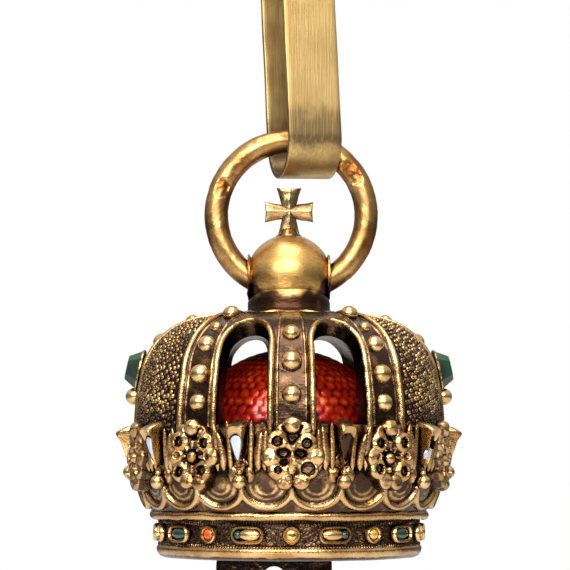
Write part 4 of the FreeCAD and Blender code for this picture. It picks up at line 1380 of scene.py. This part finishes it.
    def build(self, shop: Workshop) -> None:
        """Wall, settings, balls with their stems, and the enamel that is left in nine settings.

        Args:
            shop: takes the finished pieces.
        """
        settings, balls = [], []
        for k in range(10):
            azimuth = 18 + 36 * k
            r, z = (13.7, 7.2) if azimuth in (90, 270) else (13.45, 6.35)
            leaves = [self.leaf(lean, x, wide, tall + 0.3 * math.sin(7.0 * x + 2.3 * k))
                      for lean, x, wide, tall in self.leaves]
            settings += [made.turned(azimuth) for made in [self.setting(200 + k)] + leaves]
            ball = bead((0, -r, z), 0.58, (0, -1, 0.15), 1.0, 16, 24, -0.6)
            stem = bead((0.02, -r + 0.08, z + 0.72), 0.24, (0, -1, 0.3), 1.2, 10, 14, -0.8)
            balls += [ball.turned(azimuth), stem.turned(azimuth)]
        shop.show("scallop_wall", self.wall(), nodes=("crown_cresting",), sharp=70.0)
        shop.show("drop_settings", joined(settings), sharp=60.0)
        shop.show("cresting_balls", joined(balls), "pearl_gilt")
        for k in range(1, 10):
            low, high = (8.0, 9.1) if k == 1 else (7.98, 9.97)
            shop.show(f"white_drop_{k + 1:02d}", self.enamel(low, high).turned(18 + 36 * k), "white_enamel",
                      (f"enamel_drop_{k + 1:02d}",))


class Gem(Enum):
    """What a setting of the band holds."""

    EMPTY = "empty"
    GREEN = "green"
    SLIT = "slit"
    ORANGE = "orange"
    YELLOW = "yellow"
    BARREL_LEFT = "barrel_left"
    BARREL_RIGHT = "barrel_right"


@dataclass
class Band:
    """The headband with wavy rims, a stippled floor with ticks, and its settings.

    Each filling is given by its x, radius, half length beyond the radius, height and finish; a length below 0
    stands for a share of the setting's own.
    """

    gem_z: float = 2.12
    gem_r: float = 0.60
    ticks: int = 280
    slots: tuple = (("pearl_gilt", Slot.OLD_GILT), ("green_enamel", Slot.DARK_GREEN), ("orange_enamel", Slot.ORANGE),
                    ("yellow_enamel", Slot.OLD_GILT), ("crown_gilt", Slot.OLD_GILT))

    def ring(self) -> Surface:
        """An outline carried round the axis; rims wave a little, and the floor has grains and ticks.

        Returns:
            The closed band.
        """
        t = np.linspace(-2.2, 1.5, 14)
        start, rest = [(0.6, 0.06), (9.2, 0.06), (9.6, 0.03)], [(11.2, 4.1), (10.2, 4.08), (10.0, 3.9), (10.0, 1.0),
                                                                (9.9, 0.84), (0.6, 0.82)]
        low = [(10.4, 0.02), (10.75, 0.04), (11.05, 0.2), (11.24, 0.45), (11.33, 0.72), (11.32, 0.9), (11.22, 1.02)]
        floor = stacked(11.12, np.linspace(1.1, 3.1, 26))
        high = stacked(11.5 + 0.48 * np.cos(t), 3.62 + 0.42 * np.sin(t))
        r, z = np.concatenate([start, low, floor, high, rest]).T[..., None]
        row, a = np.arange(len(r))[:, None], circle(4 * self.ticks)
        is_low, on_floor, is_high = ((row >= first) & (row < last) for first, last in ((4, 10), (10, 36), (36, 50)))
        grain = np.random.default_rng(9).normal(size=(len(r), len(a)))
        grain = (grain + np.roll(grain, 1, 1) + np.roll(grain, -1, 1)) / 2
        edge = smoothstep(0.34, 0.12, np.minimum(np.abs(z - 1.08), np.abs(z - 3.12)))
        tick = np.maximum(0.0, np.cos(a * self.ticks)) * edge * on_floor
        r = r + 0.035 * grain * on_floor * (1 - edge) + 0.10 * tick
        place = carried(r, a, z)
        wave = unevenness(place, 6.0, 81) + 0.5 * unevenness(place, 2.0, 82)
        z = z + 0.07 * wave * is_high * (z < 4.05) + 0.02 * wave * is_low
        r = r + 0.05 * (unevenness(place, 2.4, 83) - 1) * is_high
        wear = 0.14 * on_floor + 0.4 * tick + np.maximum(0, grain) * 0.14 * on_floor
        wear = wear + is_high * smoothstep(11.45, 11.85, r) + is_low * smoothstep(11.0, 11.3, r) * 0.95
        return grid_solid(carried(r, a, z), wear)

    def holds(self) -> list[Gem]:
        """What each of the twenty settings holds, from the front to the right and round.

        Returns:
            One kind a setting.
        """
        front = [Gem.SLIT, Gem.BARREL_RIGHT, Gem.YELLOW, Gem.GREEN, Gem.YELLOW]
        back = [Gem.GREEN, Gem.ORANGE, Gem.GREEN, Gem.YELLOW, Gem.BARREL_LEFT, Gem.SLIT, Gem.GREEN, Gem.ORANGE,
                Gem.BARREL_RIGHT, Gem.YELLOW, Gem.GREEN]
        return front + back + [Gem.EMPTY, Gem.GREEN, Gem.ORANGE, Gem.BARREL_LEFT]

    def fillings(self, gem: Gem, long: float) -> tuple:
        """What lies in a setting.

        Args:
            gem: the setting's kind.
            long: half of the setting's straight length.

        Returns:
            The x, radius, half length beyond the radius, height and finish of each filling.
        """
        sign = 1 if gem is Gem.BARREL_RIGHT else -1
        barrel = ((-0.18 * sign, 0.5, 0.5, 0.42, "pearl_gilt"), (0.8 * sign, 0.34, 0.02, 0.40, "green_enamel"))
        return {Gem.EMPTY: ((0, 0.42, long, 0.02, "crown_gilt"),),
                Gem.SLIT: ((0, 0.48, long, 0.22, "yellow_enamel"), (0.06, 0.2, 0.14, 0.30, "green_enamel")),
                Gem.GREEN: ((0, 0.47, long * 0.85, 0.27, "green_enamel"),),
                Gem.ORANGE: ((0, 0.47, long, 0.27, "orange_enamel"),),
                Gem.YELLOW: ((0, 0.47, long, 0.29, "yellow_enamel"),),
                Gem.BARREL_LEFT: barrel, Gem.BARREL_RIGHT: barrel}[gem]

    def build(self, shop: Workshop) -> None:
        """The band, then collars round every setting and fillings grouped by finish, each a low dome.

        Args:
            shop: takes the finished pieces.
        """
        shop.show("band_ring", self.ring(), nodes=("crown_headband",), sharp=70.0)
        collars, fills, centre = [], {finish: [] for finish, _ in self.slots}, np.array([0.0, -11.27, self.gem_z])
        axes = [(1, 0, 0), (0, 0, 1), (0, -1, 0)]
        for k, gem in enumerate(self.holds()):
            long = 0.66 if k % 2 == 1 else 0.0
            collars.append(ring_bead(centre, axes, self.gem_r, 0.17, 44, long, 1.9).turned(18.0 * k))
            for x, radius, length, rise, finish in self.fillings(gem, long):
                dome = bead((0, 0, 0), 1.0, (0, -1, 0), 1.0, 12, 24, -2.0)
                dome.points = dome.points * [radius + length, rise, radius] + centre + [x, 0, 0]
                fills[finish].append(dome.turned(18.0 * k))
        shop.show("gem_collars", joined(collars), "pearl_gilt", tuple(f"band_gem_{k + 1:02d}" for k in range(20)))
        for finish, slot in self.slots:
            shop.show("gems_" + finish, joined(fills[finish]), finish)


@dataclass
class Hanger:
    """The dark hanger under the band with its cross bore."""

    width: float = 9.8
    depth: float = 4.0
    height: float = 3.2
    x: float = -1.3
    bore: float = 1.0
    bore_z: float = -1.75

    def build(self, shop: Workshop) -> None:
        """Loops between the bore and a rounded block outline, on the front, over the edge and on the back.

        Args:
            shop: takes the finished hanger.
        """
        t = circle(160)
        ray = stacked(np.cos(t), np.sin(t))
        above = ray[:, 1] > 0
        reach_z = np.where(above, -0.06 - self.bore_z, self.height - 0.04 + self.bore_z)
        power = np.where(above, 16.0, 5.0)
        size = (np.abs(2 * ray[:, 0] / self.width) ** power + np.abs(ray[:, 1] / reach_z) ** power) ** (-1 / power)
        edge, hole, front = ray * size[:, None], ray * self.bore, self.depth / 2
        loops = [(share, inset - front) for share, inset in
                 ((0.0, 0.06), (0.03, 0.0), (0.3, 0.0), (0.6, 0.0), (0.9, 0.02), (0.97, 0.08), (1.0, 0.2))]
        loops += [(1.0, y) for y in (-0.9, 0.0, 0.9)]
        loops += [(share, front - inset) for share, inset in
                  ((1.0, 0.2), (0.97, 0.08), (0.6, 0.0), (0.3, 0.0), (0.03, 0.0), (0.0, 0.06))]
        share, y = np.array(loops).T[..., None]
        flat = hole + (edge - hole) * share[..., None]
        points = stacked(self.x + flat[..., 0], y, self.bore_z + flat[..., 1])
        wave = points[..., 0] * 2.4 + points[..., 2] * 3.0 + 2.0 * unevenness(points, 2.0, 91)
        relief = np.clip(0.35 + 0.5 * np.sin(wave) ** 8, 0, 1)
        shop.show("dark_hanger_block", grid_solid(points, relief, wrap_rows=True), "dark_hanger", ("badge_hanger",),
                  45.0)


# ---------------------------------------------------------------- studio


@dataclass
class Studio:
    """Camera, lights, floor and surroundings."""

    distance: float = 160.0
    pitch: float = 6.2
    azimuth: float = -0.8
    aim: tuple = (-0.35, 0.0, 23.4)
    lens: float = 116.1

    def put(self, thing: bpy.types.Object, place: np.ndarray, facing: Vector) -> None:
        """Puts a camera or lamp into the scene.

        Args:
            thing: the camera or lamp.
            place: its location in the scene.
            facing: the direction it looks in.
        """
        thing.location = place
        thing.rotation_euler = facing.to_track_quat("-Z", "Y").to_euler()
        bpy.context.scene.collection.objects.link(thing)

    def camera(self) -> None:
        """The camera stands low in front and looks a little upwards, as in the photograph."""
        p, a = math.radians(self.pitch), math.radians(self.azimuth)
        back = np.array([math.sin(a) * math.cos(p), -math.cos(a) * math.cos(p), -math.sin(p)])
        data = bpy.data.cameras.new("camera")
        data.lens, data.sensor_width = self.lens, 36.0
        data.clip_start, data.clip_end = 0.005, 10.0
        camera = bpy.data.objects.new("camera", data)
        self.put(camera, (np.array(self.aim) + back * self.distance - HANG_POINT) * MM, Vector(-back))
        bpy.context.scene.camera = camera

    def lamp(self, name: str, place: tuple, size: float, power: float, colour: tuple = (1, 1, 1),
             wide: float = 1.0) -> None:
        """A soft lamp that faces the crown.

        Args:
            name: the lamp's name.
            place: where it stands, in the crown's millimetres.
            size: its side in metres.
            power: its power in watts.
            colour: its light's colour.
            wide: stretches it sideways and keeps its area.
        """
        data = bpy.data.lights.new(name, "AREA")
        data.shape = "RECTANGLE"
        data.size, data.size_y, data.energy, data.color = size * wide, size / wide, power, colour
        location, aim = ((np.array(p) - HANG_POINT) * MM for p in (place, (0, 0, 16.0)))
        self.put(bpy.data.objects.new(name, data), location, Vector(aim) - Vector(location))

    def surroundings(self) -> None:
        """A white surround for the view, and a softer one for reflections: bright above and below, dim level."""
        world = bpy.data.worlds.new("studio")
        bpy.context.scene.world = world
        world.use_nodes = True
        n = Nodes(world.node_tree)
        n.tree.nodes.clear()
        up = n.add("ShaderNodeSeparateXYZ", {0: n.add("ShaderNodeTexCoord")["Generated"]})["Z"]
        strength = n.math("ADD", n.ramp(up, 0.02, 0.7, 0.14, 1.05), n.ramp(up, -0.55, -0.04, 0.7, 0.0))
        soft = n.add("ShaderNodeBackground", {"Color": (1.0, 0.985, 0.97), "Strength": strength})[0]
        white = n.add("ShaderNodeBackground", {"Color": (1, 1, 1), "Strength": 1.0})[0]
        seen = n.add("ShaderNodeLightPath")["Is Camera Ray"]
        n.add("ShaderNodeOutputWorld", {0: n.add("ShaderNodeMixShader", {0: seen, 1: soft, 2: white})[0]})

    def floor(self) -> None:
        """A pale round floor well below the hanging badge."""
        radius, depth = 0.45, 0.17
        points = radius * carried(1.0, circle(96) + math.pi / 2, 0.0) - [0, 0, depth]
        mesh = bpy.data.meshes.new("floor")
        mesh.from_pydata(points.tolist(), [], [tuple(range(96))])
        material = bpy.data.materials.new("pale_floor")
        material.use_nodes = True
        shader = material.node_tree.nodes["Principled BSDF"]
        Nodes(material.node_tree).fill(shader, {"Base Color": (0.86, 0.86, 0.86), "Roughness": 0.8})
        mesh.materials.append(material)
        floor = bpy.data.objects.new("floor", mesh)
        bpy.context.scene.collection.objects.link(floor)

    def build(self) -> None:
        """Camera first, then the surround, floor and lamps."""
        scene = bpy.context.scene
        scene.view_settings.view_transform = "Standard"
        scene.view_settings.look = "None"
        self.camera()
        self.surroundings()
        self.floor()
        self.lamp("soft_front", (-30, -190, 120), 160 * MM, 0.75, wide=1.45)
        self.lamp("soft_top", (0, -60, 230), 140 * MM, 0.45)
        self.lamp("soft_low", (-40, -190, -90), 120 * MM, 0.16, (1.0, 0.97, 0.93))


def main() -> None:
    """Builds the badge's sub-assemblies in order."""
    logging.basicConfig(level=logging.INFO, format="%(message)s")
    Studio().build()
    shop = Workshop()
    for kind in (StrapLoop, SuspensionRing, Orb, SmallCross, Dome, Cap, Rosette, Cresting, Band, Hanger):
        kind().build(shop)


if __name__ == "__main__":
    main()
